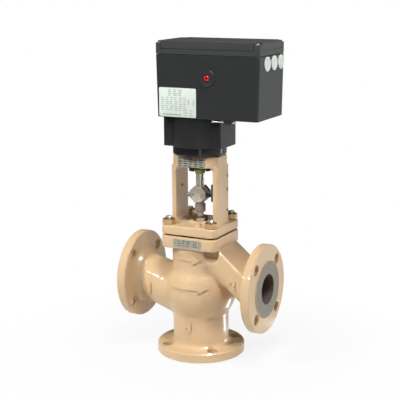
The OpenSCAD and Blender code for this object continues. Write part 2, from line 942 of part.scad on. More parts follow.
module case_screws() {
    color(steel)
        for (sx = [-1, 1], sy = [-1, 1])
            translate([sx * case_screw_x, sy * case_screw_y, 0]) {
                translate([0, 0, tower_z1 - case_screw_reach])
                    cylinder(r = case_screw_d / 2, h = case_screw_reach + case_wall);
                translate([0, 0, case_floor_z])
                    cylinder(r = case_screw_d / 2 + 1.7, h = 3);
            }
}

module circuit_board() {
    color(board_green)
        translate([case_cx - board_w / 2, board_y, board_z0])
            cube([board_w, board_t, board_h]);
}

module terminal_strip() {
    strip_w = 46;
    strip_d = 12;
    ways = 8;
    color(white_plastic)
        translate([case_cx + board_w / 2 - strip_w - 3, board_y - strip_d, board_z0 + board_h - strip_drop])
            difference() {
                cube([strip_w, strip_d, 14]);
                for (i = [0:ways - 1])
                    translate([(i + 0.5) * strip_w / ways - 1.8, -1, 4])
                        cube([3.6, 7, 6]);
            }
}

module cover_seal() {
    color(grey_seal)
        translate([0, 0, rim_z])
            linear_extrude(seal_t)
                difference() {
                    case_outline(0.8);
                    case_outline(2.8);
                }
}

// Cover: band, four corner pillars and a raised panel that stops short of the corners
module cover() {
    color(black_plastic)
        difference() {
            union() {
                translate([0, 0, cover_z0])
                    linear_extrude(band_h)
                        case_outline(0);
                translate([0, 0, band_z1 - 0.5])
                    linear_extrude(pillar_h + 0.5)
                        case_outline(cover_step);
                translate([case_cx, 0, pillar_z1 - 0.5])
                    linear_extrude(panel_h + 0.5) {
                        square([case_w - 2 * notch, case_d - 2 * cover_step], center = true);
                        square([case_w - 2 * cover_step, case_d - 2 * notch], center = true);
                    }
            }
            translate([case_cx, 0, cover_z0 - 1])
                linear_extrude(cover_z1 - case_wall - cover_z0 + 1) {
                    square([case_w - 2 * notch - 2, case_d - 2 * case_wall], center = true);
                    square([case_w - 2 * case_wall, case_d - 2 * notch - 2], center = true);
                }
            at_cover_screws()
                translate([0, 0, cover_z0 - 1])
                    cylinder(r = cover_screw_d / 2 + loose, h = cover_z1 - cover_z0 + 2);
        }
}

module cover_screws() {
    color(steel)
        at_cover_screws() {
            translate([0, 0, rim_z - cover_screw_reach])
                cylinder(r = cover_screw_d / 2, h = pillar_z1 - rim_z + cover_screw_reach);
            translate([0, 0, pillar_z1])
                cylinder(r = cover_screw_d / 2 + 1.4, h = 2);
        }
}

// Places its children, built up +Z, pointing out of a cable entry
module at_entries() {
    for (y = entry_ys)
        translate([case_x1, y, entry_z])
            rotate([0, 90, 0])
                children();
}

plug_seal_t = 0.6;

module blind_plugs() {
    shank_l = screw_inset - cover_screw_d / 2 - gap;
    head_h = 1.8;
    r = plug_head_d / 2;
    color(white_plastic)
        at_entries()
            rotate_extrude()
                polygon([[0, -shank_l], [entry_d / 2 - loose, -shank_l], [entry_d / 2 - loose, plug_seal_t],
                         [r, plug_seal_t], [r, plug_seal_t + head_h - 1], [r - 1, plug_seal_t + head_h],
                         [0, plug_seal_t + head_h]]);
}

module plug_seals() {
    color(grey_seal)
        at_entries()
            ring(plug_head_d / 2 - loose, entry_d / 2 + fit, plug_seal_t);
}

// Places its children, built up +Z, pointing out of the front on the override axis
module on_override(y) {
    translate([override_x, y, override_z])
        rotate([90, 0, 0])
            children();
}

module override_bezel() {
    inner = socket_d / 2 + 2 * fit;
    color(black_plastic)
        on_override(case_front_y)
            rotate_extrude()
                polygon([[inner, -bezel_spigot_l], [bezel_spigot_r, -bezel_spigot_l], [bezel_spigot_r, 0],
                         [bezel_d / 2, 0], [bezel_d / 2, bezel_h - 0.6], [bezel_d / 2 - 0.6, bezel_h],
                         [inner, bezel_h]]);
}

module override_socket() {
    length = bezel_spigot_l + bezel_h + socket_proud;
    socket_depth = 5;
    color(red_plastic)
        on_override(case_front_y + bezel_spigot_l)
            difference() {
                cylinder(r = socket_d / 2, h = length);
                translate([0, 0, length - socket_depth])
                    cylinder(r = (key_af + 2 * fit) / sqrt(3), h = socket_depth + 1, $fn = 6);
            }
}

module override_shaft() {
    color(steel)
        on_override(shaft_y1)
            cylinder(r = shaft_d / 2, h = shaft_y1 - case_front_y - bezel_spigot_l);
}

// Hexagon key with a ball end, stored under the case's front edge
module override_key() {
    r = key_af / sqrt(3);
    color(steel)
        translate([0, key_y, key_z]) {
            translate([key_x0, 0, 0])
                rotate([0, 90, 0])
                    cylinder(r = r, h = key_x1 - key_x0 + r, $fn = 6);
            translate([key_x0, 0, 0])
                sphere(r = r + 0.3);
            translate([key_x1, 0, 0])
                rotate([-90, 30, 0])
                    cylinder(r = r, h = key_arm, $fn = 6);
        }
}

module key_clip() {
    depth = 8;
    below = 3.4;
    color(black_plastic)
        difference() {
            translate([clip_x0, key_y - depth / 2, key_z - below])
                cube([clip_w, depth, tower_z1 - key_z + below]);
            translate([clip_x0 - 1, key_y, key_z])
                rotate([0, 90, 0])
                    cylinder(r = key_af / sqrt(3) + gap, h = clip_w + 2);
        }
}

module plug_stem() {
    r = stem_d / 2;
    color(steel)
        rotate_extrude()
            polygon([[0, spindle_z0], [spindle_d / 2, spindle_z0], [spindle_d / 2, stem_shoulder_z],
                     [r, stem_shoulder_z], [r, stem_top_z], [0, stem_top_z]]);
}

// Plug disc with a contoured nose on its upper side, from its seat face at z = 0
module plug_form() {
    bore_r = spindle_d / 2 + fit;
    base_r = seat_d / 2 - 1;
    tip_r = spindle_d / 2 + 5;
    rotate_extrude()
        polygon(concat(
            [[bore_r, -plug_t], [plug_r - 3, -plug_t], [plug_r, -plug_t + 3], [plug_r, 0]],
            [for (i = [0:6]) [base_r - (base_r - tip_r) * pow(i / 6, 1.8), nose_h * i / 6]],
            [[bore_r, nose_h]]
        ));
}

module upper_plug() {
    color(steel)
        translate([0, 0, upper_plug_z1])
            plug_form();
}

module lower_plug() {
    color(steel)
        translate([0, 0, lower_plug_z0])
            mirror([0, 0, 1])
                plug_form();
}

module plug_spacer() {
    z0 = lower_plug_z0 + plug_t;
    color(steel)
        translate([0, 0, z0])
            ring(spindle_d / 2 + 4, spindle_d / 2 + fit, upper_plug_z1 - plug_t - z0);
}

module plug_nut() {
    color(steel)
        translate([0, 0, spindle_z0])
            hex_nut(plug_nut_af, spindle_d / 2 + fit, plug_nut_h);
}

module lock_nut() {
    chamfer = 1.2;
    r = lock_nut_d / 2;
    bore_r = stem_d / 2 + fit;
    color(dark_steel)
        translate([0, 0, clamp_z0 - lock_nut_h])
            rotate_extrude()
                polygon([[bore_r, 0], [r - chamfer, 0], [r, chamfer], [r, lock_nut_h - chamfer],
                         [r - chamfer, lock_nut_h], [bore_r, lock_nut_h]]);
}

// One half of the stem connector, clamped round both stems
module connector_half(side) {
    w = clamp_w / 2;
    h = clamp_h / 2;
    c = clamp_chamfer;
    depth = (clamp_d - clamp_slit) / 2;
    difference() {
        translate([0, side * (clamp_slit + depth) / 2 + depth / 2, clamp_z])
            rotate([90, 0, 0])
                linear_extrude(depth)
                    polygon([[w, h - c], [w - c, h], [c - w, h], [-w, h - c],
                             [-w, c - h], [c - w, -h], [w - c, -h], [w, c - h]]);
        translate([0, 0, clamp_z0 - 1])
            cylinder(r = stem_d / 2 + fit, h = clamp_h / 2 + 1);
        translate([0, 0, clamp_z])
            cylinder(r = rod_d / 2 + fit, h = clamp_h / 2 + 1);
        translate([0, 0, stem_top_z])
            cylinder(r = rod_d / 2 + fit, h = rod_z0 - stem_top_z);
        for (s = [-1, 1])
            translate([s * clamp_screw_x, clamp_d, clamp_screw_z])
                rotate([90, 0, 0])
                    cylinder(r = clamp_screw_d / 2 + fit, h = 2 * clamp_d);
        for (s = [-1, 1])
            translate([s * clamp_screw_x, -clamp_d / 2 + clamp_screw_head_h, clamp_screw_z])
                rotate([90, 0, 0])
                    cylinder(r = clamp_screw_d / 2 + 1.5 + loose, h = clamp_d);
    }
}

module connector_front() {
    color(steel)
        connector_half(-1);
}

module connector_rear() {
    color(steel)
        connector_half(1);
}

module connector_screws() {
    socket_af = 3.5;
    color(dark_steel)
        for (s = [-1, 1])
            translate([s * clamp_screw_x, clamp_d / 2 - 1, clamp_screw_z])
                rotate([90, 0, 0])
                    difference() {
                        union() {
                            cylinder(r = clamp_screw_d / 2, h = clamp_d - 2);
                            translate([0, 0, clamp_d - 1 - clamp_screw_head_h])
                                cylinder(r = clamp_screw_d / 2 + 1.5, h = clamp_screw_head_h - 1);
                        }
                        translate([0, 0, clamp_d - 4])
                            cylinder(r = socket_af / sqrt(3), h = 4, $fn = 6);
                    }
}

module connector_stud() {
    length = 9;
    drop = 3.5;
    r = 3.7;
    edge = 0.8;
    color(steel)
        translate([-clamp_w / 2 - length, 0, clamp_z - drop])
            rotate([0, 90, 0])
                rotate_extrude()
                    polygon([[0, 0], [r - edge, 0], [r, edge], [r, length], [0, length]]);
}

// Pointer: an arrow plate on the connector's right side that reads against the scale
module travel_pointer() {
    thick = 2.5;
    base_h = 9;
    base_x = clamp_w / 2;
    tip_x = scale_x1 - scale_t - 0.6;
    y = -clamp_d / 2 + 4;
    color(black_plastic)
        translate([0, y, clamp_z])
            rotate([90, 0, 0])
                linear_extrude(thick)
                    polygon([[base_x, -base_h / 2], [tip_x, -1.2], [tip_x, 1.2], [base_x, base_h / 2]]);
}

module actuator_stem() {
    color(steel)
        translate([0, 0, rod_z0])
            cylinder(r = rod_d / 2, h = piston_z1 + rod_nut_h - rod_z0);
}

seal_w = 4;

module piston() {
    r = cylinder_d / 2 - gap;
    seal_z = piston_z0 + piston_t / 2;
    color(machined)
        rotate_extrude()
            polygon([[rod_d / 2 + fit, piston_z0], [r, piston_z0], [r, seal_z - seal_w / 2],
                     [r - 3, seal_z - seal_w / 2], [r - 3, seal_z + seal_w / 2], [r, seal_z + seal_w / 2],
                     [r, piston_z1], [rod_d / 2 + fit, piston_z1]]);
}

module piston_seal() {
    color(grey_seal)
        translate([0, 0, piston_z0 + piston_t / 2 - seal_w / 2 + 0.1])
            ring(cylinder_d / 2 - fit, cylinder_d / 2 - gap - 2.9, seal_w - 0.2);
}

module piston_nut() {
    color(dark_steel)
        translate([0, 0, piston_z1])
            hex_nut(rod_nut_af, rod_d / 2 + fit, rod_nut_h - 1);
}

valve_body();
upper_seat_ring();
lower_seat_ring();
body_gasket();
bonnet_yoke();
body_studs();
body_nuts();
guide_bush();
packing_spring();
packing_washer();
packing_rings();
gland_nut();
travel_scale();
mounting_nut();
rod_wiper();
rod_guide_bush();
end_cap();
cylinder_housing();
return_spring();
pump_block();
pump_motor();
actuator_case();
case_screws();
circuit_board();
terminal_strip();
cover_seal();
cover();
cover_screws();
blind_plugs();
plug_seals();
override_bezel();
key_clip();
override_key();
plug_stem();
upper_plug();
lower_plug();
plug_spacer();
plug_nut();
lock_nut();
connector_front();
connector_rear();
connector_screws();
connector_stud();
travel_pointer();
actuator_stem();
piston();
piston_seal();
piston_nut();
override_socket();
override_shaft();
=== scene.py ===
"""Looks of a flanged three-way control valve with a yoke bonnet and an electrohydraulic actuator.

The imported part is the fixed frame. Sizes here are millimetres in the part's own frame, meshes are metres.
"""

import logging
import math
from collections.abc import Callable, Iterator
from contextlib import contextmanager
from dataclasses import dataclass, replace
from enum import Enum

import bmesh
import bpy
from mathutils import Matrix, Vector


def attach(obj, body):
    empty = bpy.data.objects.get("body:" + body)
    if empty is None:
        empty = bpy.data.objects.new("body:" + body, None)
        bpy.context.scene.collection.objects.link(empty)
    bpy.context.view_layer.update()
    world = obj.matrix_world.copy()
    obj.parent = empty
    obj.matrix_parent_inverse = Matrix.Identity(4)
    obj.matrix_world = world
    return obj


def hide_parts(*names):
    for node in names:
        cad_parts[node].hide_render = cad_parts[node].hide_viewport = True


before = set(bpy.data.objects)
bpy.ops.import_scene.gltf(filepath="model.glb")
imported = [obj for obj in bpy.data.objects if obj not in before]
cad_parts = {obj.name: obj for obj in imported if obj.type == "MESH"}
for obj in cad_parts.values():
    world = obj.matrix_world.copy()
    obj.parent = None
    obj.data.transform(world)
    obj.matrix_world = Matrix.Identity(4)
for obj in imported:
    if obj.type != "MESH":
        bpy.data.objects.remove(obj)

LOG = logging.getLogger("valve")
MM = 0.001
# Output of a Mix node that carries a colour
MIX_COLOUR = 2
# Radians that a Wave node of scale 1 turns through in a metre
WAVE_RATE = 20
WHITE = (1, 1, 1, 1)
Piece = bpy.types.Object
Pair = tuple[float, float]
Profile = list[Pair]
Point = tuple[float, float, float]
Span = tuple[float, float, float]
Test = Callable[[Vector, Vector], bool]


class Body(Enum):
    """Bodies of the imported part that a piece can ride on."""

    VALVE = "valve"
    STEM = "stem_train"
    OVERRIDE = "override"


class LampUse(Enum):
    """What a lamp does: whether it lights surfaces, and whether glossy ones show it."""

    SOFT = (True, False)
    GLINT = (False, True)


class Join(Enum):
    """Ways in which one closed mesh meets another."""

    FUSE = "UNION"
    CUT = "DIFFERENCE"
    COMMON = "INTERSECT"


class Half(Enum):
    """Halves of the split connector, by the sign of their Y."""

    FRONT = -1
    REAR = 1


class Line(Enum):
    """Lines of the part's own frame, by their place in a vector."""

    X = 0
    Y = 1
    Z = 2


class Axis(Enum):
    """Turns, in degrees, that lay a mesh built up +Z along another axis."""

    UP = (0, 0, 0)
    LEFT = (0, -90, 0)
    RIGHT = (0, 90, 0)
    FRONT = (90, 0, 0)
    BACK = (-90, 0, 0)


def linear(colour: str) -> tuple[float, float, float, float]:
    """Turns an sRGB hex colour into linear light.

    Args:
        colour: six hex digits after a hash sign.
    Returns:
        Red, green, blue and an alpha of 1.
    """
    parts = [int(colour[i:i + 2], 16) / 255 for i in (1, 3, 5)]
    red, green, blue = (c / 12.92 if c <= 0.04045 else ((c + 0.055) / 1.055) ** 2.4 for c in parts)
    return red, green, blue, 1.0


def add_node(tree: bpy.types.NodeTree, kind: str, values: dict | None = None,
             links: dict | None = None, **settings: object) -> bpy.types.Node:
    """Adds one shader node.

    Args:
        tree: node tree that takes the node.
        kind: the node's type name.
        values: socket name or number to its fixed value.
        links: socket name or number to the output that feeds it.
        settings: the node's own properties.
    Returns:
        The new node.
    """
    node = tree.nodes.new(kind)
    for key, value in settings.items():
        setattr(node, key, value)
    for key, value in (values or {}).items():
        node.inputs[key].default_value = value
    for key, output in (links or {}).items():
        tree.links.new(output, node.inputs[key])
    return node


@dataclass(frozen=True)
class Finish:
    """A surface: two colours that drift into each other, a roughness that drifts, and a fine grain.

    Scales are the width of one patch or grain in millimetres. A grain that is too fine to show in the render
    is drawn coarser than the real one.
    """

    name: str
    colour: str
    drift: str
    roughness: float = 0.4
    rough_spread: float = 0.08
    metallic: float = 0.0
    coat: float = 0.0
    coat_roughness: float = 0.1
    ior: float = 1.5
    patch: float = 30.0
    grain: float = 1.0
    relief: float = 0.03
    stretch: Point = (1.0, 1.0, 1.0)

    def height(self, tree: bpy.types.NodeTree, spot: bpy.types.NodeSocket) -> bpy.types.NodeSocket:
        """Gives the grain's height over the surface.

        Args:
            tree: the material's node tree.
            spot: object coordinates in metres.
        Returns:
            The socket that carries the height, from 0 to 1.
        """
        scaled = add_node(tree, "ShaderNodeMapping", {"Scale": self.stretch}, {"Vector": spot})
        grain = add_node(tree, "ShaderNodeTexNoise", {"Scale": 1 / (self.grain * MM), "Detail": 3.0},
                         {"Vector": scaled.outputs["Vector"]})
        return grain.outputs["Fac"]

    def tint(self, tree: bpy.types.NodeTree, spot: bpy.types.NodeSocket) -> bpy.types.NodeSocket:
        """Gives the surface's colour.

        Args:
            tree: the material's node tree.
            spot: object coordinates in metres.
        Returns:
            The socket that carries the colour.
        """
        patch = add_node(tree, "ShaderNodeTexNoise", {"Scale": 1 / (self.patch * MM), "Detail": 4.0},
                         {"Vector": spot})
        mix = add_node(tree, "ShaderNodeMix", {"A": linear(self.colour), "B": linear(self.drift)},
                       {"Factor": patch.outputs["Fac"]}, data_type="RGBA")
        return mix.outputs[MIX_COLOUR]

    def material(self) -> bpy.types.Material:
        """Makes the material once and gives it again later.

        Returns:
            The material.
        """
        made = bpy.data.materials.get(self.name)
        if made:
            return made
        made = bpy.data.materials.new(self.name)
        made.use_nodes = True
        tree = made.node_tree
        shader = tree.nodes["Principled BSDF"]
        spot = add_node(tree, "ShaderNodeTexCoord").outputs["Object"]
        tree.links.new(self.tint(tree, spot), shader.inputs["Base Color"])
        height = self.height(tree, spot)
        rough = add_node(tree, "ShaderNodeMapRange", {"To Min": self.roughness - self.rough_spread,
                                                      "To Max": self.roughness + self.rough_spread},
                         {"Value": height})
        tree.links.new(rough.outputs["Result"], shader.inputs["Roughness"])
        bump = add_node(tree, "ShaderNodeBump", {"Strength": 1.0, "Distance": self.relief * MM},
                        {"Height": height})
        tree.links.new(bump.outputs["Normal"], shader.inputs["Normal"])
        shader.inputs["Metallic"].default_value = self.metallic
        shader.inputs["Coat Weight"].default_value = self.coat
        shader.inputs["Coat Roughness"].default_value = self.coat_roughness
        if not self.metallic:
            shader.inputs["IOR"].default_value = self.ior
        return made


@dataclass(frozen=True)
class TurnedFinish(Finish):
    """A face turned in a lathe, with rings round an axis through a centre, a pitch apart in millimetres."""

    centre: Point = (0.0, 0.0, 0.0)
    around: Line = Line.X
    pitch: float = 4.4

    def height(self, tree: bpy.types.NodeTree, spot: bpy.types.NodeSocket) -> bpy.types.NodeSocket:
        """Gives the tool marks' height over the surface.

        Args:
            tree: the material's node tree.
            spot: object coordinates in metres.
        Returns:
            The socket that carries the height, from 0 to 1.
        """
        shift = tuple(-c * MM for c in self.centre)
        moved = add_node(tree, "ShaderNodeMapping", {"Location": shift}, {"Vector": spot})
        scale = math.tau / (self.pitch * MM) / WAVE_RATE
        rings = add_node(tree, "ShaderNodeTexWave", {"Scale": scale, "Distortion": 0.6, "Detail": 2.0},
                         {"Vector": moved.outputs["Vector"]}, wave_type="RINGS",
                         rings_direction=self.around.name)
        return rings.outputs["Fac"]


# Gloss enamel sprayed over sand-cast iron: clear highlights over a faint cast waviness
ENAMEL = Finish("gloss_enamel_on_cast_iron", "#DCBD95", "#D1B28A", 0.38, 0.06, coat=0.35, coat_roughness=0.05,
                ior=1.38, patch=55, grain=6.0, relief=0.7)
# The same enamel over machined faces, plates and raised marks: calmer highlights on smoother iron
SMOOTH_ENAMEL = replace(ENAMEL, name="gloss_enamel_on_machined_iron", relief=0.2)
# Machined grey iron of the raised side faces: dull grey with turning rings, drawn coarse enough to show
IRON_FACE = TurnedFinish("turned_grey_iron", "#8F897B", "#7F786B", 0.5, 0.06, metallic=0.55, patch=12,
                         relief=0.02, centre=(127, 0, 127))
# The same iron on the bottom face, turned round the stem's axis
FOOT_FACE = replace(IRON_FACE, name="turned_grey_iron_foot", centre=(0, 0, 0), around=Line.Z)
# Bore left as cast, with a film of brown oxide: dark, matt and blotchy
OXIDE = Finish("brown_oxide_on_iron", "#6A5644", "#523F30", 0.75, 0.1, patch=9, grain=1.5, relief=0.25)
# Nickel plate over machined steel: a warm, slightly dulled shine; also painted highlight on studs and gland
NICKEL_AND_HIGHLIGHT = Finish("nickel_plated_steel_and_painted_highlight", "#D8D1C2", "#C0B8A7", 0.3, 0.08, metallic=0.55, patch=6, grain=0.8,
                relief=0.01)
# Plain stainless steel, drawn and ground: a cool shine with streaks along its length
STAINLESS = Finish("ground_stainless_steel", "#CFCFCB", "#B9B9B4", 0.24, 0.08, metallic=0.85, patch=10,
                   grain=0.7, relief=0.01, stretch=(1.0, 1.0, 0.1))
# Bright chromed steel of the stored key: an almost white shine
BRIGHT_STEEL = Finish("bright_chromed_steel", "#ECEDE8", "#DADBD6", 0.25, 0.06, metallic=0.3, patch=5,
                      grain=0.6, relief=0.01)
# Steel with yellow zinc passivation, oversprayed with enamel on its flats: a warm, soft shine
ZINC = Finish("yellow_zinc_plated_steel", "#DBB482", "#BD9364", 0.3, 0.08, metallic=0.5, patch=5, grain=0.9,
              relief=0.03)
# Dull brown bare steel: painted shade on studs and gland away from the light; also nut tops, undersides,
# chamfers and screw slots
DULL_STEEL_AND_SHADE = Finish("dull_bare_steel_and_painted_shade", "#705A44", "#42352A", 0.45, 0.1, metallic=0.45, patch=3, grain=0.7,
                     relief=0.03)
# Oiled machined steel of the knurled nut: grey with dark blotches; also painted shade on the connector's down
# and right faces
DARK_STEEL_AND_SHADE = Finish("oiled_steel_and_painted_shade", "#B5B0A7", "#746E66", 0.42, 0.1, metallic=0.35, patch=1.6,
                    grain=0.8, relief=0.05)
# Blackened steel of the ring nut: brownish black with a soft sheen; also painted shade over the nickel rear
# half of the connector
BLACK_STEEL_AND_SHADE = Finish("blackened_steel_and_painted_shade", "#4A3B2E", "#221C18", 0.38, 0.1, metallic=0.6, patch=14, grain=0.9,
                     relief=0.03)
# Glass-filled polyamide with a fine spark-eroded grain: an even black with a soft sheen
CASE_PLASTIC = Finish("moulded_black_polyamide", "#2A2C2C", "#262828", 0.45, 0.06, patch=40, grain=0.9,
                      relief=0.03, ior=1.38)
# The lid: the same black plastic, a little lighter
LID_PLASTIC = replace(CASE_PLASTIC, name="moulded_black_polyamide_lid", colour="#3D3F3F", drift="#373939")
# Smoother black polyamide of the small fittings: black with a clearer sheen; also painted shade in the
# override's hexagon hole
FITTING_PLASTIC_AND_SHADE = Finish("smooth_black_polyamide_and_painted_shade", "#222323", "#1D1E1E", 0.36, 0.05, patch=12, grain=0.8,
                         relief=0.01)
# Black powder coat on the aluminium cylinder block: a soft sheen over a faint orange peel
POWDER_COAT = Finish("black_powder_coat", "#202120", "#1B1C1B", 0.44, 0.06, patch=25, grain=1.1, relief=0.04,
                     ior=1.38)
# Gloss black lacquer on the turned end cap: deep black with sharp reflections
BLACK_LACQUER = Finish("gloss_black_lacquer", "#1A1A19", "#151514", 0.17, 0.03, ior=1.42,
                       patch=20, grain=2.5, relief=0.01)
# White polyethylene plugs: slightly waxy
WHITE_PLASTIC = Finish("white_polyethylene", "#E6EDE6", "#D6DFD6", 0.42, 0.06, patch=6, grain=0.9,
                       relief=0.03)
# Red acetal socket of the override: a strong, even red
RED_PLASTIC = Finish("red_acetal", "#E8201E", "#D51B19", 0.34, 0.06, patch=4, grain=0.6, relief=0.01)
# Green polyurethane wiper: a dull yellowish green
GREEN_RUBBER = Finish("green_polyurethane", "#8DAE52", "#7C9A48", 0.5, 0.08, patch=6, grain=0.8, relief=0.02)
# Black nitrile and graphite sheet: matt black
BLACK_RUBBER = Finish("black_nitrile_rubber", "#26211B", "#1A1613", 0.7, 0.08, patch=8, grain=0.6,
                      relief=0.04)
# Polyester label: a flat white with a cool tinge
LABEL_WHITE = Finish("white_polyester_label", "#D6DED5", "#CCD6CD", 0.42, 0.05, patch=25, grain=0.7,
                     relief=0.01)
# Grey print on the label: flat and matt
PRINT_GREY = Finish("grey_screen_print", "#98A099", "#87908A", 0.5, 0.05, patch=4, grain=0.5, relief=0.005)
# Black print on the label: flat and matt
PRINT_BLACK = Finish("black_screen_print", "#34383C", "#2B2F33", 0.45, 0.05, patch=4, grain=0.5, relief=0.005)
# Anodised aluminium plates, brushed along their length: a soft grey sheen with fine streaks
PLATE = Finish("brushed_anodised_aluminium", "#B9B7A6", "#A3A192", 0.4, 0.08, metallic=0.4, patch=5,
               grain=0.5, relief=0.01, stretch=(0.08, 1.0, 1.0))
# Etched and filled lines on the plates: dark and matt
ETCH = Finish("etched_and_filled_lines", "#4E4A40", "#3E3B33", 0.55, 0.06, patch=3, grain=0.5, relief=0.01)
# Bronze of the guide bushes: a warm yellow shine
BRONZE = Finish("bearing_bronze", "#B08A52", "#9A7643", 0.3, 0.08, metallic=1.0, patch=6, grain=0.7,
                relief=0.01)
# Machined aluminium of rivets, pump block, motor and piston: a pale grey shine
ALUMINIUM = Finish("machined_aluminium", "#B9B8B4", "#A9A8A4", 0.34, 0.08, metallic=1.0, patch=10, grain=0.8,
                   relief=0.01)
# Filled fluoropolymer packing: a waxy white
PACKING = Finish("white_fluoropolymer", "#E2E1DA", "#D5D4CC", 0.4, 0.05, patch=6, grain=0.7, relief=0.01)
# Solder resist over glass laminate: a glossy green
RESIST = Finish("green_solder_resist", "#2F6B3F", "#275C36", 0.35, 0.05, patch=9, grain=0.6, relief=0.01)


def choose(piece: Piece) -> None:
    """Makes a piece the only one that is selected, and the active one.

    Args:
        piece: object to choose.
    """
    bpy.ops.object.select_all(action="DESELECT")
    piece.select_set(True)
    bpy.context.view_layer.objects.active = piece


@contextmanager
def editing(piece: Piece) -> Iterator[bmesh.types.BMesh]:
    """Holds a piece alone in edit mode.

    Args:
        piece: mesh object to edit.
    Returns:
        Its edit mesh, with nothing selected.
    """
    choose(piece)
    bpy.ops.object.mode_set(mode="EDIT")
    bpy.ops.mesh.select_mode(type="FACE")
    bpy.ops.mesh.select_all(action="DESELECT")
    yield bmesh.from_edit_mesh(piece.data)
    bpy.ops.object.mode_set(mode="OBJECT")


def pick_faces(piece: Piece, mesh: bmesh.types.BMesh, test: Test) -> None:
    """Selects faces in edit mode.

    Args:
        piece: mesh object in edit mode.
        mesh: its edit mesh.
        test: says from a face's centre in millimetres and its normal whether it is taken.
    """
    bpy.ops.mesh.select_mode(type="FACE")
    for face in mesh.faces:
        face.select_set(test(face.calc_center_median() / MM, face.normal))
    bmesh.update_edit_mesh(piece.data)


def pick_edges(piece: Piece, mesh: bmesh.types.BMesh, test: Test) -> None:
    """Selects edges in edit mode.

    Args:
        piece: mesh object in edit mode.
        mesh: its edit mesh.
        test: says from an edge's middle in millimetres and its direction whether it is taken.
    """
    bpy.ops.mesh.select_mode(type="EDGE")
    for edge in mesh.edges:
        start, end = (v.co for v in edge.verts)
        edge.select_set(test((start + end) / 2 / MM, (end - start).normalized()))
    bmesh.update_edit_mesh(piece.data)


def place(piece: Piece, at: Point = (0, 0, 0), axis: Axis | Point = Axis.UP) -> Piece:
    """Turns a piece, moves it and applies both to its mesh.

    Args:
        piece: mesh object at the origin.
        at: new place of its origin in millimetres.
        axis: turn in degrees, or the named turn.
    Returns:
        The piece.
    """
    turn = axis.value if isinstance(axis, Axis) else axis
    choose(piece)
    piece.rotation_euler = [math.radians(a) for a in turn]
    piece.location = Vector(at) * MM
    bpy.ops.object.transform_apply(location=True, rotation=True, scale=True)
    return piece


def arc(centre: Pair, radius: float, start: float, end: float, steps: int) -> Profile:
    """Points on an arc, from one angle in degrees to another.

    Args:
        centre: middle of the arc.
        radius: its radius.
        start: first angle.
        end: last angle.
        steps: chords along it.
    Returns:
        The points, both ends among them.
    """
    angles = [math.radians(start + (end - start) * i / steps) for i in range(steps + 1)]
    return [(centre[0] + radius * math.cos(a), centre[1] + radius * math.sin(a)) for a in angles]


def turned(name: str, profile: Profile, sides: int = 64) -> Piece:
    """Models a turned piece: a disc that is extruded and scaled along a profile, up +Z.

    Args:
        name: the object's name.
        profile: radius and height of each ring from the bottom up, in millimetres.
        sides: corners of each ring.
    Returns:
        The closed mesh object.
    """
    bpy.ops.object.select_all(action="DESELECT")
    first_r, first_z = profile[0]
    bpy.ops.mesh.primitive_circle_add(vertices=sides, radius=first_r * MM, fill_type="NGON",
                                      location=(0, 0, first_z * MM))
    piece = bpy.context.object
    piece.name = name
    bpy.ops.object.transform_apply(location=True)
    with editing(piece):
        bpy.ops.mesh.select_all(action="SELECT")
        for (low_r, low_z), (high_r, high_z) in zip(profile, profile[1:]):
            rise = (0, 0, (high_z - low_z) * MM)
            bpy.ops.mesh.extrude_region_move(TRANSFORM_OT_translate={"value": rise})
            grow = high_r / low_r
            bpy.ops.transform.resize(value=(grow, grow, 1), center_override=(0, 0, high_z * MM))
        bpy.ops.mesh.select_all(action="SELECT")
        bpy.ops.mesh.normals_make_consistent(inside=False)
    return piece


def rod(radius: float, start: float, end: float, sides: int = 48) -> Piece:
    """Gives a plain round tool for cutting, up +Z, in millimetres."""
    return turned("tool", [(radius, start), (radius, end)], sides)


def block(name: str, low: Point, high: Point) -> Piece:
    """Models a block between two corners.

    Args:
        name: the object's name.
        low: lowest corner in millimetres.
        high: highest corner in millimetres.
    Returns:
        The closed mesh object.
    """
    bpy.ops.object.select_all(action="DESELECT")
    middle = (Vector(low) + Vector(high)) / 2 * MM
    bpy.ops.mesh.primitive_cube_add(size=1, location=middle)
    piece = bpy.context.object
    piece.name = name
    piece.scale = (Vector(high) - Vector(low)) * MM
    bpy.ops.object.transform_apply(location=True, rotation=True, scale=True)
    return piece


def leaning(build: Callable[[float], Piece], start: Pair, end: Pair) -> Piece:
    """Builds a piece of a given length up +Z and lays it between two points of the XZ plane.

    Args:
        build: makes the piece from its length in millimetres.
        start: x and z of its lower end.
        end: x and z of its upper end.
    Returns:
        The piece in its place.
    """
    across, rise = end[0] - start[0], end[1] - start[1]
    return place(build(math.hypot(across, rise)), (start[0], 0, start[1]),
                 (0, math.degrees(math.atan2(across, rise)), 0))


def round_edges(piece: Piece, radius: float, test: Test, segments: int = 5) -> Piece:
    """Rounds some edges of a piece with the bevel operator.

    Args:
        piece: mesh object.
        radius: width of the round in millimetres.
        test: says from an edge's middle in millimetres and its direction whether it is rounded.
        segments: facets across the round.
    Returns:
        The piece.
    """
    with editing(piece) as mesh:
        pick_edges(piece, mesh, test)
        bpy.ops.mesh.bevel(offset=radius * MM, segments=segments, affect="EDGES", profile=0.5)
    return piece


def along(line: Line) -> Test:
    """Gives a test for edges that run along a line of the frame."""
    return lambda middle, way: abs(way[line.value]) > 0.99


def modify(piece: Piece, kind: str, **settings: object) -> Piece:
    """Adds a modifier to a piece and applies it.

    Args:
        piece: mesh object.
        kind: the modifier's type name.
        settings: its properties.
    Returns:
        The piece.
    """
    choose(piece)
    bpy.ops.object.modifier_add(type=kind)
    modifier = piece.modifiers[-1]
    for key, value in settings.items():
        setattr(modifier, key, value)
    bpy.ops.object.modifier_apply(modifier=modifier.name)
    return piece


def combine(piece: Piece, how: Join, *tools: Piece) -> Piece:
    """Fuses, cuts or intersects a piece with closed tools, which are used up.

    Args:
        piece: closed mesh object that is kept.
        how: the operation.
        tools: closed mesh objects.
    Returns:
        The piece.
    """
    for tool in tools:
        modify(piece, "BOOLEAN", operation=how.value, object=tool, solver="MANIFOLD")
        bpy.data.objects.remove(tool)
    return piece


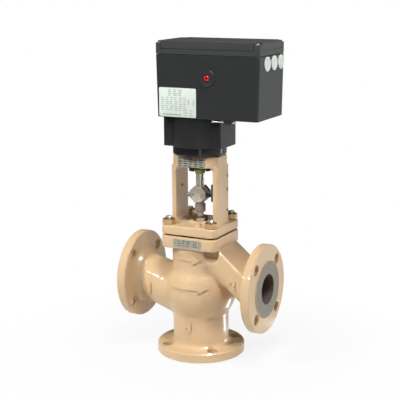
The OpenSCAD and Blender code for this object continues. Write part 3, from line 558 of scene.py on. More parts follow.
def soften(piece: Piece, width: float, segments: int = 3, angle: float = 30) -> Piece:
    """Bevels every sharp edge of a piece with the bevel modifier.

    Args:
        piece: mesh object.
        width: width of the bevel in millimetres.
        segments: facets across it.
        angle: least angle in degrees between the faces of an edge that is bevelled.
    Returns:
        The piece.
    """
    return modify(piece, "BEVEL", width=width * MM, segments=segments, limit_method="ANGLE",
                  angle_limit=math.radians(angle), use_clamp_overlap=True, miter_outer="MITER_ARC")


def as_cast(piece: Piece, voxel: float, passes: int) -> Piece:
    """Remeshes overlapping solids into one skin and smooths it as a casting is.

    Args:
        piece: mesh object of closed solids.
        voxel: cell size in millimetres.
        passes: passes of smoothing.
    Returns:
        The piece.
    """
    modify(piece, "REMESH", mode="VOXEL", voxel_size=voxel * MM)
    return modify(piece, "SMOOTH", factor=0.5, iterations=passes)


def joined(name: str, pieces: list[Piece]) -> Piece:
    """Joins pieces into one object, without fusing their solids.

    Args:
        name: the object's name.
        pieces: mesh objects.
    Returns:
        The one object.
    """
    choose(pieces[0])
    for piece in pieces:
        piece.select_set(True)
    bpy.ops.object.join()
    pieces[0].name = name
    return pieces[0]


def threaded(radius: float, start: float, end: float, pitch: float) -> Profile:
    """Profile of a thread, as rings of crests and roots.

    Args:
        radius: radius over the crests.
        start: height of the first ring.
        end: height that the rings don't pass.
        pitch: distance between crests.
    Returns:
        The points from the bottom up.
    """
    turns = int((end - start) / pitch)
    depth_share = 0.55
    depth = depth_share * pitch
    return [point for i in range(turns)
            for point in ((radius, start + i * pitch), (radius - depth, start + (i + 0.5) * pitch))]


def hexagon(name: str, across: float, height: float, bore: float) -> Piece:
    """Models a hexagon nut with turned chamfers, standing on z = 0, with a flat towards +X.

    Args:
        name: the object's name.
        across: width across the flats in millimetres.
        height: its height.
        bore: radius of its hole.
    Returns:
        The closed mesh object.
    """
    corner = across / math.sqrt(3)
    chamfer_share, chamfer_slope, clear = 0.47, 0.6, 1.02
    edge, outside = chamfer_share * across, clear * corner
    rise = chamfer_slope * (corner - edge)
    nut = turned(name, [(corner, 0), (corner, height)], 6)
    cone = turned("cone", [(edge, 0), (outside, rise), (outside, height - rise), (edge, height)])
    return combine(combine(nut, Join.COMMON, cone), Join.CUT, rod(bore, -1, height + 1))


def copy_to(piece: Piece, at: Point, axis: Axis | Point = Axis.UP) -> Piece:
    """Copies a piece with its own mesh, then turns and moves the copy.

    Args:
        piece: object to copy.
        at: place of the copy in millimetres.
        axis: way that its +Z points, or its turn in degrees.
    Returns:
        The copy.
    """
    twin = piece.copy()
    twin.data = piece.data.copy()
    bpy.context.scene.collection.objects.link(twin)
    return place(twin, at, axis)


def cad_copy(node: str) -> Piece:
    """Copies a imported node's mesh and merges it into whole faces.

    Args:
        node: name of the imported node.
    Returns:
        The new mesh object.
    """
    weld, flat = 0.002, 0.5
    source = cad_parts[node]
    twin = bpy.data.objects.new("copy", source.data.copy())
    bpy.context.scene.collection.objects.link(twin)
    with editing(twin):
        bpy.ops.mesh.select_all(action="SELECT")
        bpy.ops.mesh.remove_doubles(threshold=weld * MM)
        bpy.ops.mesh.dissolve_limited(angle_limit=math.radians(flat))
    return twin


def dress(piece: Piece, name: str, body: Body, finish: Finish, slot: str, *nodes: str,
          smooth: float = 35, level: bool = False) -> Piece:
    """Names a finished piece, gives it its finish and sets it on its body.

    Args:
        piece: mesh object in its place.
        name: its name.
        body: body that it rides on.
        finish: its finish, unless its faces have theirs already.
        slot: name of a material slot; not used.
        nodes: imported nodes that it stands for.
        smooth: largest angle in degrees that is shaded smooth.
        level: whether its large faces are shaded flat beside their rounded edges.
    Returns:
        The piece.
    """
    piece.name = name
    piece.data.name = name
    if not any(piece.data.materials):
        piece.data.materials.clear()
        piece.data.materials.append(finish.material())
    choose(piece)
    bpy.ops.object.shade_smooth_by_angle(angle=math.radians(smooth))
    if level:
        modify(piece, "WEIGHTED_NORMAL", keep_sharp=True)
    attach(piece, body.value)
    if nodes:
        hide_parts(*nodes)
    LOG.info("%s rides on %s", name, body.value)
    return piece


def dress_copy(node: str, width: float, name: str, body: Body, finish: Finish, slot: str) -> Piece:
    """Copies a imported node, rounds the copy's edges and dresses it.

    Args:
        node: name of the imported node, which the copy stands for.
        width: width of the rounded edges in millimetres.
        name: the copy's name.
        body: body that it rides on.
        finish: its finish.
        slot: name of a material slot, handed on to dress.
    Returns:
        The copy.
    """
    return dress(soften(cad_copy(node), width), name, body, finish, slot, node)


def paint_faces(piece: Piece, finishes: list[Finish], choice: Callable[[Vector, Vector], Finish]) -> None:
    """Gives each face of a piece one of several finishes.

    Args:
        piece: mesh object.
        finishes: finishes that it takes.
        choice: the finish for a face's centre in millimetres and its normal.
    """
    piece.data.materials.clear()
    for finish in finishes:
        piece.data.materials.append(finish.material())
    numbers = {finish: number for number, finish in enumerate(finishes)}
    for face in piece.data.polygons:
        face.material_index = numbers[choice(face.center / MM, face.normal)]


@dataclass
class CastBody:
    """Three-way body: flanges, hubs, globe, leaning necks, square joint flange and flow passages."""

    flange_r: float = 76.2
    flange_t: float = 16.0
    face_r: float = 49.0
    face_h: float = 1.6
    port_r: float = 26.0
    bolt_r: float = 60.325
    hole_r: float = 9.525
    run_half: float = 127.0
    run_z: float = 127.0
    globe_r: float = 62.0
    globe_z: float = 112.0
    column_r: float = 48.5
    hub_r: float = 44.0
    neck_r: float = 39.0
    neck_flare: float = 3.0
    neck_aim: float = 92.5
    duct_half: Pair = (23.0, 40.0)
    duct_fall: float = 40.7
    duct_x: float = 96.5
    duct_edge: float = 5.0
    duct_belly: float = 20.0
    blend_r: float = 14.0
    hub_fillet: float = 8.0
    deck_z: float = 214.5
    deck_half: float = 52.0
    deck_r: float = 13.0
    deck_t: float = 21.0
    deck_edge: float = 2.2
    stud_half: float = 40.0
    stud_r: float = 6.05
    pocket_r: float = 13.0
    pocket_h: float = 8.0
    low_web: Pair = (72.0, 84.0)
    high_web: Pair = (132.0, 144.0)
    seat_rs: Pair = (27.05, 30.05)
    upper_r: float = 38.0
    column_wall: float = 12.0
    globe_wall: float = 9.0
    neck_bore_r: float = 29.0
    slot_half: Pair = (17.0, 22.0)
    slot_r: float = 16.0
    voxel: float = 1.9
    passes: int = 10

    @property
    def hub_z(self) -> float:
        """Height of a flange's back over its mating face."""
        return self.face_h + self.flange_t

    @property
    def neck_x(self) -> float:
        """X of the left neck's start, just inside its flange."""
        return -self.run_half + self.hub_z - 2

    @property
    def chamber_r(self) -> float:
        """Radius of the chamber in the globe."""
        return self.globe_r - self.globe_wall

    def ports(self) -> list[tuple[Point, Axis]]:
        """Place of each port's mating face and the way into the body: bottom, left and right."""
        return [((0, 0, 0), Axis.UP), ((-self.run_half, 0, self.run_z), Axis.RIGHT),
                ((self.run_half, 0, self.run_z), Axis.LEFT)]

    def hub(self, radius: float) -> Profile:
        """Profile of the fillet from a flange's back to a hub of that radius."""
        middle = (radius + self.hub_fillet, self.hub_z + self.hub_fillet)
        return [(radius + self.hub_fillet, self.hub_z - 3)] + arc(middle, self.hub_fillet, 270, 180, 6)

    def side_hub(self) -> Profile:
        """Profile of a side flange's hub, which steps down to its neck."""
        step = self.hub_r - self.neck_r
        return self.hub(self.hub_r) + [(self.neck_r - 0.5, self.hub_z + self.hub_fillet + step)]

    def blend(self, radius: float) -> Pair:
        """Rise and angle at which a coaxial neck of that radius blends into the globe.

        Args:
            radius: the neck's radius in millimetres.
        Returns:
            The rise from the globe's centre in millimetres and the angle in degrees.
        """
        out = radius + self.blend_r
        rise = math.sqrt((self.globe_r + self.blend_r) ** 2 - out ** 2)
        return rise, math.degrees(math.atan2(rise, out))

    def core(self) -> Piece:
        """Models the upright core with its globe.

        Returns:
            The core in its place.
        """
        rise, angle = self.blend(self.column_r)
        out = self.column_r + self.blend_r
        profile = self.hub(self.column_r)
        profile += arc((out, self.globe_z - rise), self.blend_r, 180, 180 - angle, 6)
        profile += arc((0, self.globe_z), self.globe_r, -angle, angle, 20)[1:]
        profile += arc((out, self.globe_z + rise), self.blend_r, 180 + angle, 180, 6)[1:]
        profile.append((self.column_r, self.deck_z - self.deck_t / 2))
        return turned("core", profile, 96)

    def on_neck(self, x: float) -> Pair:
        """Point on the left neck's axis at a given x."""
        return x, self.neck_aim + (self.run_z - self.neck_aim) * x / self.neck_x

    def on_duct(self, step: float) -> Pair:
        """Point on the right duct's axis, measured from where it meets the run's axis."""
        fall = math.radians(self.duct_fall)
        return self.duct_x - step * math.cos(fall), self.run_z + step * math.sin(fall)

    def left_neck(self) -> Piece:
        """Models the round neck that leans down from the left flange into the globe.

        Returns:
            The neck in its place.
        """
        wide = self.neck_r + self.neck_flare
        return leaning(lambda length: turned("left_neck", [(self.neck_r, 0), (wide, length)], 80),
                       self.on_neck(self.neck_x), self.on_neck(-self.globe_r / 2))

    def right_neck(self) -> Piece:
        """Models the flat-sided duct that falls from under the square flange to the right port.

        Returns:
            The duct in its place.
        """
        half_x, half_y = self.duct_half
        start, end = -13, 88
        upright = along(Line.Z)

        def duct(length: float) -> Piece:
            """Models the duct up +Z, with its flat top towards +X.

            Args:
                length: its length in millimetres.
            Returns:
                The duct at the origin.
            """
            bar = block("duct", (-half_x, -half_y, 0), (half_x, half_y, length))
            round_edges(bar, self.duct_edge, lambda middle, way: upright(middle, way) and middle.x > 0, 4)
            return round_edges(bar, self.duct_belly,
                               lambda middle, way: upright(middle, way) and middle.x < 0, 8)

        return leaning(duct, self.on_duct(start), self.on_duct(end))

    def pockets(self) -> list[Piece]:
        """Models the round-bottomed tools that clear the studs under the right side of the flange.

        Returns:
            Two cutting tools in their places.
        """
        top = self.deck_z - self.deck_t
        profile = arc((0, top - self.pocket_h), self.pocket_r, -85, 0, 7) + [(self.pocket_r, top + 1)]
        half = self.stud_half
        return [place(turned("pocket", profile), (half, y, 0)) for y in (-half, half)]

    def flange(self, port: tuple[Point, Axis]) -> Piece:
        """Models one pipe flange with its raised face and broken edges.

        Args:
            port: place of the raised face and the way that its hub points.
        Returns:
            The flange in its place.
        """
        burr, edge, back = 0.4, 1.2, 1.8
        profile = [(self.face_r - burr, 0), (self.face_r, burr), (self.face_r, self.face_h),
                   (self.flange_r - edge, self.face_h), (self.flange_r, self.face_h + edge),
                   (self.flange_r, self.hub_z - back), (self.flange_r - back, self.hub_z),
                   (self.hub_r - 2, self.hub_z)]
        return place(turned("flange", profile, 128), *port)

    def deck(self) -> Piece:
        """Models the square joint flange with rounded corners and edges.

        Returns:
            The flange in its place.
        """
        half = self.deck_half
        slab = block("deck", (-half, -half, self.deck_z - self.deck_t), (half, half, self.deck_z))
        round_edges(slab, self.deck_r, along(Line.Z), 8)
        return soften(slab, self.deck_edge, 4, 40)

    def passages(self) -> list[Piece]:
        """Models the flow passages, seat bores and upper chamber as cutting tools.

        Returns:
            Cutting tools in their places.
        """
        (low_floor, low_top), (high_floor, high_top) = self.low_web, self.high_web
        low_seat, high_seat = self.seat_rs
        over, taper_start, taper_end = 1, self.hub_z + 4, self.hub_z + 32
        low_r = self.column_r - self.column_wall
        ends = (low_top, high_floor)
        start, end = (math.degrees(math.asin((z - self.globe_z) / self.chamber_r)) for z in ends)
        tools = [turned("low", [(self.port_r, -over), (self.port_r, taper_start), (low_r, taper_end),
                                (low_r, low_floor)]),
                 turned("chamber", arc((0, self.globe_z), self.chamber_r, start, end, 10)),
                 rod(low_seat, low_floor - over, low_top + over),
                 rod(high_seat, high_floor - over, high_top + over),
                 rod(self.upper_r, high_top, self.deck_z + over)]
        tools += [place(rod(self.port_r, -over, self.hub_z + 13), *port) for port in self.ports()[1:]]
        return tools + [self.left_passage(), self.right_passage()]

    def left_passage(self) -> Piece:
        """Models the left neck's bore, which ends at the lower web, as a cutting tool.

        Returns:
            The tool in its place.
        """
        bore = leaning(lambda length: rod(self.neck_bore_r, 0, length),
                       self.on_neck(-self.run_half + self.hub_z + 7), self.on_neck(12 - self.globe_r))
        half, floor = self.hub_r, self.low_web[1]
        above = block("above", (-self.run_half, -half, floor), (0, half, floor + 2 * half))
        return combine(bore, Join.COMMON, above)

    def right_passage(self) -> Piece:
        """Models the right duct's rounded slot as a cutting tool.

        Returns:
            The tool in its place.
        """
        half_x, half_y = self.slot_half
        start, end = -4, 90

        def slot(length: float) -> Piece:
            """Models the slot up +Z."""
            bar = block("slot", (-half_x, -half_y, 0), (half_x, half_y, length))
            return round_edges(bar, self.slot_r, along(Line.Z), 8)

        return leaning(slot, self.on_duct(start), self.on_duct(end))

    def holes(self) -> list[Piece]:
        """Models the flange bolt holes, with broken edges, and the stud holes as cutting tools.

        Returns:
            Cutting tools in their places.
        """
        flare, over = 1.0, 1
        back_r = self.hole_r + 0.8
        profile = [(self.hole_r + flare + over, self.face_h - over), (self.hole_r, self.face_h + flare),
                   (self.hole_r, self.hub_z - 0.2), (back_r, self.hub_z + 0.4), (back_r, self.hub_z + 10)]
        bolts = []
        for turn in (math.radians(a) for a in (45, 135, 225, 315)):
            at = (self.bolt_r * math.cos(turn), self.bolt_r * math.sin(turn), 0)
            bolts.append(place(turned("bolt", profile, 40), at))
        ring = joined("bolts", bolts)
        tools = [copy_to(ring, *port) for port in self.ports()]
        bpy.data.objects.remove(ring)
        for y in (-self.stud_half, self.stud_half):
            for x in (-self.stud_half, self.stud_half):
                hole = rod(self.stud_r, self.deck_z - self.deck_t - over, self.deck_z + over)
                tools.append(place(hole, (x, y, 0)))
        return tools

    def in_passage(self, point: Vector) -> bool:
        """Whether a surface point lies on a flow passage.

        Args:
            point: the point in millimetres.
        Returns:
            True on the walls of the passages, the chambers and the port bores.
        """
        slack = 0.6
        stem = math.hypot(point.x, point.y)
        run = math.hypot(point.y, point.z - self.run_z)
        globe = (point - Vector((0, 0, self.globe_z))).length
        start, end = (Vector((x, 0, z)) for x, z in (self.on_neck(-self.run_half), self.on_neck(0)))
        way = (end - start).normalized()
        neck = (point - start).cross(way).length
        fall = math.radians(self.duct_fall)
        duct = abs((point.x - self.duct_x) * math.sin(fall) + (point.z - self.run_z) * math.cos(fall))
        port_x, neck_end = 90, -40
        half_x, half_y = self.slot_half
        return (stem < self.upper_r + slack and slack < point.z < self.deck_z - slack
                or globe < self.chamber_r + slack
                or run < self.port_r + slack and abs(point.x) > port_x
                or neck < self.neck_bore_r + slack and point.x < neck_end
                or duct < half_x + slack and abs(point.y) < half_y + slack and 0 < point.x < self.run_half)

    def finish_of(self, centre: Vector, normal: Vector) -> Finish:
        """Chooses the finish of a face.

        Args:
            centre: the face's centre in millimetres.
            normal: its normal.
        Returns:
            Bare iron on the mating faces, oxide in the passages, and enamel elsewhere.
        """
        near, facing = 0.8, 0.9
        if abs(centre.x) > self.run_half - near and abs(normal.x) > facing:
            return IRON_FACE
        if centre.z < near and normal.z < -facing:
            return FOOT_FACE
        if self.in_passage(centre):
            return OXIDE
        reach, under = 23, 0.5
        on_flange = (abs(centre.x) > self.run_half - reach or centre.z < reach
                     or centre.z > self.deck_z - self.deck_t - under)
        return SMOOTH_ENAMEL if on_flange else ENAMEL

    def build(self) -> None:
        """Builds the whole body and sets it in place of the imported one."""
        solids = [self.core(), self.left_neck(), self.right_neck()]
        solids += [place(turned("hub", self.side_hub(), 80), *port) for port in self.ports()[1:]]
        casting = joined("casting", solids)
        modify(casting, "REMESH", mode="VOXEL", voxel_size=self.voxel * MM)
        combine(casting, Join.CUT, *self.pockets())
        as_cast(casting, self.voxel, self.passes)
        combine(casting, Join.FUSE, self.deck(), *[self.flange(port) for port in self.ports()])
        combine(casting, Join.CUT, *self.passages(), *self.holes())
        paint_faces(casting, [ENAMEL, IRON_FACE, FOOT_FACE, OXIDE, SMOOTH_ENAMEL], self.finish_of)
        dress(casting, "cast_body", Body.VALVE, ENAMEL, "cast_paint", "valve_body", smooth=40)
        CastMarks(casting).build()


@dataclass
class YokeBonnet:
    """Bonnet flange, yoke columns and yoke head, in one casting."""

    half: float = 52.0
    corner_r: float = 13.0
    edge_r: float = 3.0
    low_z: float = 217.5
    top_z: float = 232.7
    width: float = 86.8
    depth: float = 45.0
    post_t: float = 8.8
    window_h: float = 98.8
    window_r: float = 9.0
    head_t: float = 18.5
    head_depth: float = 64.0
    head_flat: float = 55.0
    hub_r: float = 17.0
    hub_h: float = 2.3
    collar_r: float = 18.05
    box_r: float = 10.0
    box_z: float = 206.5
    stem_r: float = 7.5
    spigot_r: float = 37.7
    spigot_z: float = 202.5
    stud_half: float = 40.0
    stud_r: float = 6.25
    scale_hole_r: float = 3.0
    scale_drops: Point = (17.8, 41.5, 78.0)
    scale_inset: float = 5.5
    side_hole_r: float = 3.3
    side_drop: float = 37.5
    boss_at: Pair = (18.0, -42.0)
    boss_h: float = 7.8
    voxel: float = 1.25
    passes: int = 3

    @property
    def head_z(self) -> float:
        """Height of the yoke head's underside."""
        return self.top_z + self.window_h

    def plate(self) -> Piece:
        """Models the square bonnet flange.

        Returns:
            The flange in its place.
        """
        slab = block("plate", (-self.half, -self.half, self.low_z), (self.half, self.half, self.top_z))
        round_edges(slab, self.corner_r, along(Line.Z), 8)
        return round_edges(slab, self.edge_r,
                           lambda middle, way: middle.z > self.top_z - 0.1 and abs(way.z) < 0.1, 4)

    def columns(self) -> Piece:
        """Models both columns, with the fillets of the window between them.

        Returns:
            Both columns as one object, in their places.
        """
        side = self.width / 2
        deep, sunk = self.depth / 2, 2
        posts = block("posts", (-side, -deep, self.top_z - sunk), (side, deep, self.head_z + sunk))
        inner = side - self.post_t
        window = block("window", (-inner, -self.depth, self.top_z), (inner, self.depth, self.head_z))
        round_edges(window, self.window_r, along(Line.Y), 6)
        return combine(posts, Join.CUT, window)

    def head(self) -> Piece:
        """Models the yoke head, a slab with its corners cut at 45 degrees.

        Returns:
            The head in its place.
        """
        side, back, flat = self.width / 2, self.head_depth / 2, self.head_flat / 2
        slab = block("head", (-side, -back, self.head_z), (side, back, self.head_z + self.head_t))
        with editing(slab):
            for sx in (-1, 1):
                for sy in (-1, 1):
                    bpy.ops.mesh.select_all(action="SELECT")
                    bpy.ops.mesh.bisect(plane_co=(sx * flat * MM, sy * back * MM, 0), plane_no=(sx, sy, 0),
                                        use_fill=True, clear_outer=True)
        return slab

    def boss(self) -> Piece:
        """Models the small round boss near the bonnet's front edge.

        Returns:
            The boss in its place.
        """
        top = self.boss_h
        knob = turned("boss", [(6.6, -1), (6.4, 0.3), (5.5, 1.2), (5.2, 2.5), (5.2, top - 1.6),
                               (4.7, top - 0.5), (3.6, top), (0.5, top)], 40)
        return place(knob, (*self.boss_at, self.top_z))

    def feet(self) -> list[Piece]:
        """Models the flare at each column's foot as a small wedge.

        Returns:
            The wedges in their places.
        """
        wedges = []
        side, deep = self.width / 2, self.depth / 2 + 3
        half, sunk, rise = 4, 2, 4
        narrow, inset = (0.3, 0.88, 1), 3
        for s in (-1, 1):
            wedge = block("foot", (s * side - half, -deep, self.top_z - sunk),
                          (s * side + half, deep, self.top_z + rise))
            with editing(wedge) as mesh:
                pick_faces(wedge, mesh, lambda centre, normal: normal.z > 0.9)
                bpy.ops.transform.resize(value=narrow, center_override=(s * (side - inset) * MM, 0, 0))
            wedges.append(wedge)
        return wedges

    def holes(self) -> list[Piece]:
        """Models the bores and fixing holes as cutting tools.

        Returns:
            Cutting tools in their places.
        """
        over, above = 2, self.top_z + 10
        tools = [rod(self.stem_r, self.spigot_z - 1, above), rod(self.box_r, self.box_z, above),
                 rod(self.collar_r, self.head_z - 5, self.head_z + self.head_t + over)]
        for x in (-self.stud_half, self.stud_half):
            for y in (-self.stud_half, self.stud_half):
                tools.append(place(rod(self.stud_r, self.low_z - over, self.top_z + over), (x, y, 0)))
        inner, scale_y = self.width / 2 - self.post_t, self.depth / 2 - self.scale_inset
        start, end, sides = -1, 12, 24
        for drop in self.scale_drops:
            hole = rod(self.scale_hole_r, start, end, sides)
            tools.append(place(hole, (inner, scale_y, self.head_z - drop), Axis.RIGHT))
        hole = rod(self.side_hole_r, start, end, sides)
        tools.append(place(hole, (-inner, 0, self.head_z - self.side_drop), Axis.LEFT))
        return tools

    def build(self) -> None:
        """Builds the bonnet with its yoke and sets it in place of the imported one."""
        foot_r = self.hub_r + 2
        hub = turned("hub", [(foot_r, self.top_z - 2), (foot_r, self.top_z),
                             (self.hub_r, self.top_z + self.hub_h)])
        casting = joined("bonnet", [self.plate(), self.columns(), self.head(), hub, *self.feet()])
        as_cast(casting, self.voxel, self.passes)
        edge = 1
        spigot = turned("spigot", [(self.spigot_r - edge, self.spigot_z),
                                   (self.spigot_r, self.spigot_z + edge), (self.spigot_r, self.low_z + 2)])
        combine(casting, Join.FUSE, spigot)
        combine(casting, Join.CUT, *self.holes())
        dress(casting, "yoke_bonnet", Body.VALVE, SMOOTH_ENAMEL, "cast_paint", "bonnet_yoke", smooth=40)
        dress(self.boss(), "bonnet_boss", Body.VALVE, SMOOTH_ENAMEL, "cast_paint", smooth=40)


@dataclass
class StudSet:
    """Four studs with hexagon nuts that hold the bonnet on the body, and the gland's hexagon."""

    half: float = 40.0
    stud_r: float = 6.0
    low_z: float = 195.5
    seat_z: float = 232.7
    nut_h: float = 10.0
    nut_af: float = 19.0
    proud: float = 5.0
    pitch: float = 1.5
    gland_af: float = 24.0
    gland_h: float = 6.5
    gland_bore: float = 6.3
    gland_z: float = 235.0
    gland_turn: float = -3.0

    def stud(self) -> Piece:
        """Models one stud with a thread over its nut and a domed end.

        Returns:
            The stud at its height, round the Z axis.
        """
        top = self.seat_z + self.nut_h + self.proud
        r = self.stud_r
        profile = [(r - 1, self.low_z), (r, self.low_z + 1), (r, self.seat_z + self.nut_h - 1)]
        profile += threaded(r, self.seat_z + self.nut_h - 0.6, top - 1.6, self.pitch)
        return turned("stud", profile + [(r - 0.5, top - 1.9), (r - 1.4, top - 0.7), (r - 3.2, top - 0.1),
                                         (0.5, top)], 32)

    def build(self) -> None:
        """Sets the four studs and nuts, each nut tightened to its own angle."""
        studs, nuts = [], []
        spots = ((-1, -1, -3), (1, -1, 27), (-1, 1, -14), (1, 1, 6))
        for side, depth, turn in spots:
            x, y = side * self.half, depth * self.half
            studs.append(place(self.stud(), (x, y, 0)))
            nut = hexagon("nut", self.nut_af, self.nut_h, self.stud_r)
            nuts.append(place(nut, (x, y, self.seat_z), (0, 0, turn)))
        stud_set, nut_set = joined("studs", studs), joined("nuts", nuts)
        # Nuts: zinc on the flats, dull steel on their tops, undersides and chamfers
        # Studs: faces turned upwards get bright nickel as painted highlight, the rest dull steel as painted
        # shade
        upward, upright = 0.25, 0.2
        paint_faces(stud_set, [DULL_STEEL_AND_SHADE, NICKEL_AND_HIGHLIGHT],
                    lambda centre, normal: NICKEL_AND_HIGHLIGHT if normal.z > upward else DULL_STEEL_AND_SHADE)
        paint_faces(nut_set, [DULL_STEEL_AND_SHADE, ZINC],
                    lambda centre, normal: ZINC if abs(normal.z) < upright else DULL_STEEL_AND_SHADE)
        dress(stud_set, "bonnet_studs", Body.VALVE, NICKEL_AND_HIGHLIGHT, "zinc_steel", "body_studs")
        dress(nut_set, "bonnet_nuts", Body.VALVE, ZINC, "zinc_steel", "body_nuts", smooth=20)
        self.gland()

    def gland(self) -> None:
        """Sets the hexagon round the stem, its flat that faces the camera painted bright as a painted
        highlight.
        """
        nut = hexagon("gland", self.gland_af, self.gland_h, self.gland_bore)
        place(nut, (0, 0, self.gland_z), (0, 0, self.gland_turn))
        # The flat that faces the camera is painted nickel as painted highlight; the other faces dull steel as
        # painted shade
        front, near = Vector((0.45, -0.89, 0)), 0.9
        paint_faces(nut, [DULL_STEEL_AND_SHADE, NICKEL_AND_HIGHLIGHT],
                    lambda centre, normal: NICKEL_AND_HIGHLIGHT if normal.dot(front) > near else DULL_STEEL_AND_SHADE)
        dress(nut, "gland_hexagon", Body.VALVE, DULL_STEEL_AND_SHADE, "dark_steel", "gland_nut", smooth=20)


@dataclass
class StemConnector:
    """Split connector between valve stem and rod, with its screws, stud and knurled lock nut."""

    half_w: float = 15.5
    half_h: float = 14.0
    half_d: float = 11.5
    slit: float = 0.3
    z: float = 281.5
    chamfer: float = 9.0
    screw_x: float = 10.7
    screw_drop: float = 2.5
    head_r: float = 4.0
    head_gap: float = 0.25
    head_sink: float = 4.0
    stem_r: float = 6.1
    rod_r: float = 7.1
    stud_drop: float = 3.5
    nut_r: float = 9.25
    nut_low: float = 250.0
    nut_neck_r: float = 7.6
    knurl: float = 0.4

    def half(self, side: Half) -> Piece:
        """Models one half of the connector.

        Args:
            side: which half; the front one has sunk screw heads.
        Returns:
            The half in its place.
        """
        near, far = sorted((side.value * self.slit, side.value * self.half_d))
        piece = block("half", (-self.half_w, near, -self.half_h), (self.half_w, far, self.half_h))
        round_edges(piece, self.chamfer, along(Line.Y), 1)
        soften(piece, 2.0, 3, 30)
        end = self.half_h + 1
        combine(piece, Join.CUT, rod(self.stem_r, -end, 0), rod(self.rod_r, -1.5, end))
        if side is Half.FRONT:
            for x in (-self.screw_x, self.screw_x):
                sink = rod(self.head_r + self.head_gap, -self.head_sink, self.half_d, 40)
                place(sink, (x, self.head_sink - 2 * self.half_d, -self.screw_drop), Axis.BACK)
                combine(piece, Join.CUT, sink)
        return place(piece, (0, 0, self.z))

    def screw(self, x: float, turn: float) -> Piece:
        """Models the slotted head of one clamping screw.

        Args:
            x: place of its axis in millimetres.
            turn: turn of its slot in degrees.
        Returns:
            The head in its place.
        """
        r = self.head_r
        profile = [(r - 0.3, 0), (r, 0.3), (r, 2.6), (r - 0.4, 3.2), (r - 1.6, 3.6), (0.4, 3.8)]
        slot_half, slot_z = 0.6, 2.4
        slot = block("slot", (-r - 1, -slot_half, slot_z), (r + 1, slot_half, 5))
        head = place(combine(turned("screw", profile, 40), Join.CUT, slot), axis=(0, 0, turn))
        return place(head, (x, self.head_sink - self.half_d, self.z - self.screw_drop), Axis.FRONT)

    def lock_nut(self) -> Piece:
        """Models the lock nut: a knurled band under a plain neck.

        Returns:
            The nut in its place.
        """
        rows, top, neck = 7, self.z - self.half_h, self.nut_neck_r
        low, high = self.nut_low + 1.2, top - 4
        band = [(self.nut_r, low + (high - low) * i / rows) for i in range(rows + 1)]
        nut = turned("lock_nut", [(self.nut_r - 1.4, self.nut_low), *band, (self.nut_r - 0.9, high + 0.9),
                                  (neck, high + 1.2), (neck, top)], 36)
        with editing(nut) as mesh:
            pick_faces(nut, mesh, lambda centre, normal: abs(normal.z) < 0.1 and low < centre.z < high)
            bpy.ops.mesh.poke(offset=-self.knurl * MM)
        return combine(nut, Join.CUT, rod(self.stem_r - 0.05, self.nut_low - 1, self.z))

    def build(self) -> None:
        """Builds the connector's pieces on the moving stem."""
        front, rear = self.half(Half.FRONT), self.half(Half.REAR)
        # The front half's faces that turn down or to the right are painted dark steel as painted shade
        down, sideways, slant, flat = -0.35, 0.55, 0.2, 0.9
        paint_faces(front, [NICKEL_AND_HIGHLIGHT, DARK_STEEL_AND_SHADE],
                    lambda centre, normal: DARK_STEEL_AND_SHADE if normal.z < down or normal.x > sideways else NICKEL_AND_HIGHLIGHT)
        # The rear half is painted near black as painted shade; only its slanted faces towards the front keep
        # the nickel
        paint_faces(rear, [BLACK_STEEL_AND_SHADE, NICKEL_AND_HIGHLIGHT],
                    lambda centre, normal: NICKEL_AND_HIGHLIGHT if slant < -normal.y < flat else BLACK_STEEL_AND_SHADE)
        dress(front, "clamp_front", Body.STEM, NICKEL_AND_HIGHLIGHT, "nickel_steel", "connector_front")
        dress(rear, "clamp_rear", Body.STEM, BLACK_STEEL_AND_SHADE, "nickel_steel", "connector_rear")
        screws = joined("screws", [self.screw(-self.screw_x, 50), self.screw(self.screw_x, 90)])
        # The bottoms of the screw slots are painted dull and dark
        slot_y = 1.3 - self.half_d
        paint_faces(screws, [NICKEL_AND_HIGHLIGHT, DULL_STEEL_AND_SHADE],
                    lambda centre, normal: DULL_STEEL_AND_SHADE if centre.y > slot_y and normal.y < -flat else NICKEL_AND_HIGHLIGHT)
        dress(screws, "clamp_screws", Body.STEM, NICKEL_AND_HIGHLIGHT, "dark_steel", "connector_screws")
        stud = turned("stud", [(3.5, 0), (3.7, 0.2), (3.7, 8), (2.9, 8.8), (0.5, 9)], 32)
        place(stud, (-self.half_w, 0, self.z - self.stud_drop), Axis.LEFT)
        dress(stud, "clamp_stud", Body.STEM, STAINLESS, "nickel_steel", "connector_stud")
        dress(self.lock_nut(), "knurled_nut", Body.STEM, DARK_STEEL_AND_SHADE, "dark_steel", "lock_nut", smooth=15)
        dress_copy("travel_pointer", 0.5, "arrow_pointer", Body.STEM, FITTING_PLASTIC_AND_SHADE, "case_plastic")


@dataclass
class TravelScale:
    """Dark scale strip with pale ticks on the right-hand column."""

    x: float = 31.6
    front_y: float = -22.5
    first_z: float = 276.0
    pitch: float = 2.5
    ticks: int = 11
    long_every: int = 5
    inset: float = 1.5
    tick_half: float = 0.25
    tick_ls: Pair = (4.0, 7.0)

    def build(self) -> None:
        """Builds the strip and its short and long ticks."""
        dress_copy("travel_scale", 0.4, "scale_strip", Body.VALVE, FITTING_PLASTIC_AND_SHADE, "case_plastic")
        marks = []
        short, long = self.tick_ls
        proud, sunk, start = 0.08, 0.2, self.front_y + self.inset
        for i in range(self.ticks):
            z = self.first_z + i * self.pitch
            end = start + (short if i % self.long_every else long)
            marks.append(block("tick", (self.x - proud, start, z - self.tick_half),
                               (self.x + sunk, end, z + self.tick_half)))
        dress(joined("ticks", marks), "scale_ticks", Body.VALVE, LABEL_WHITE, "plug_plastic")


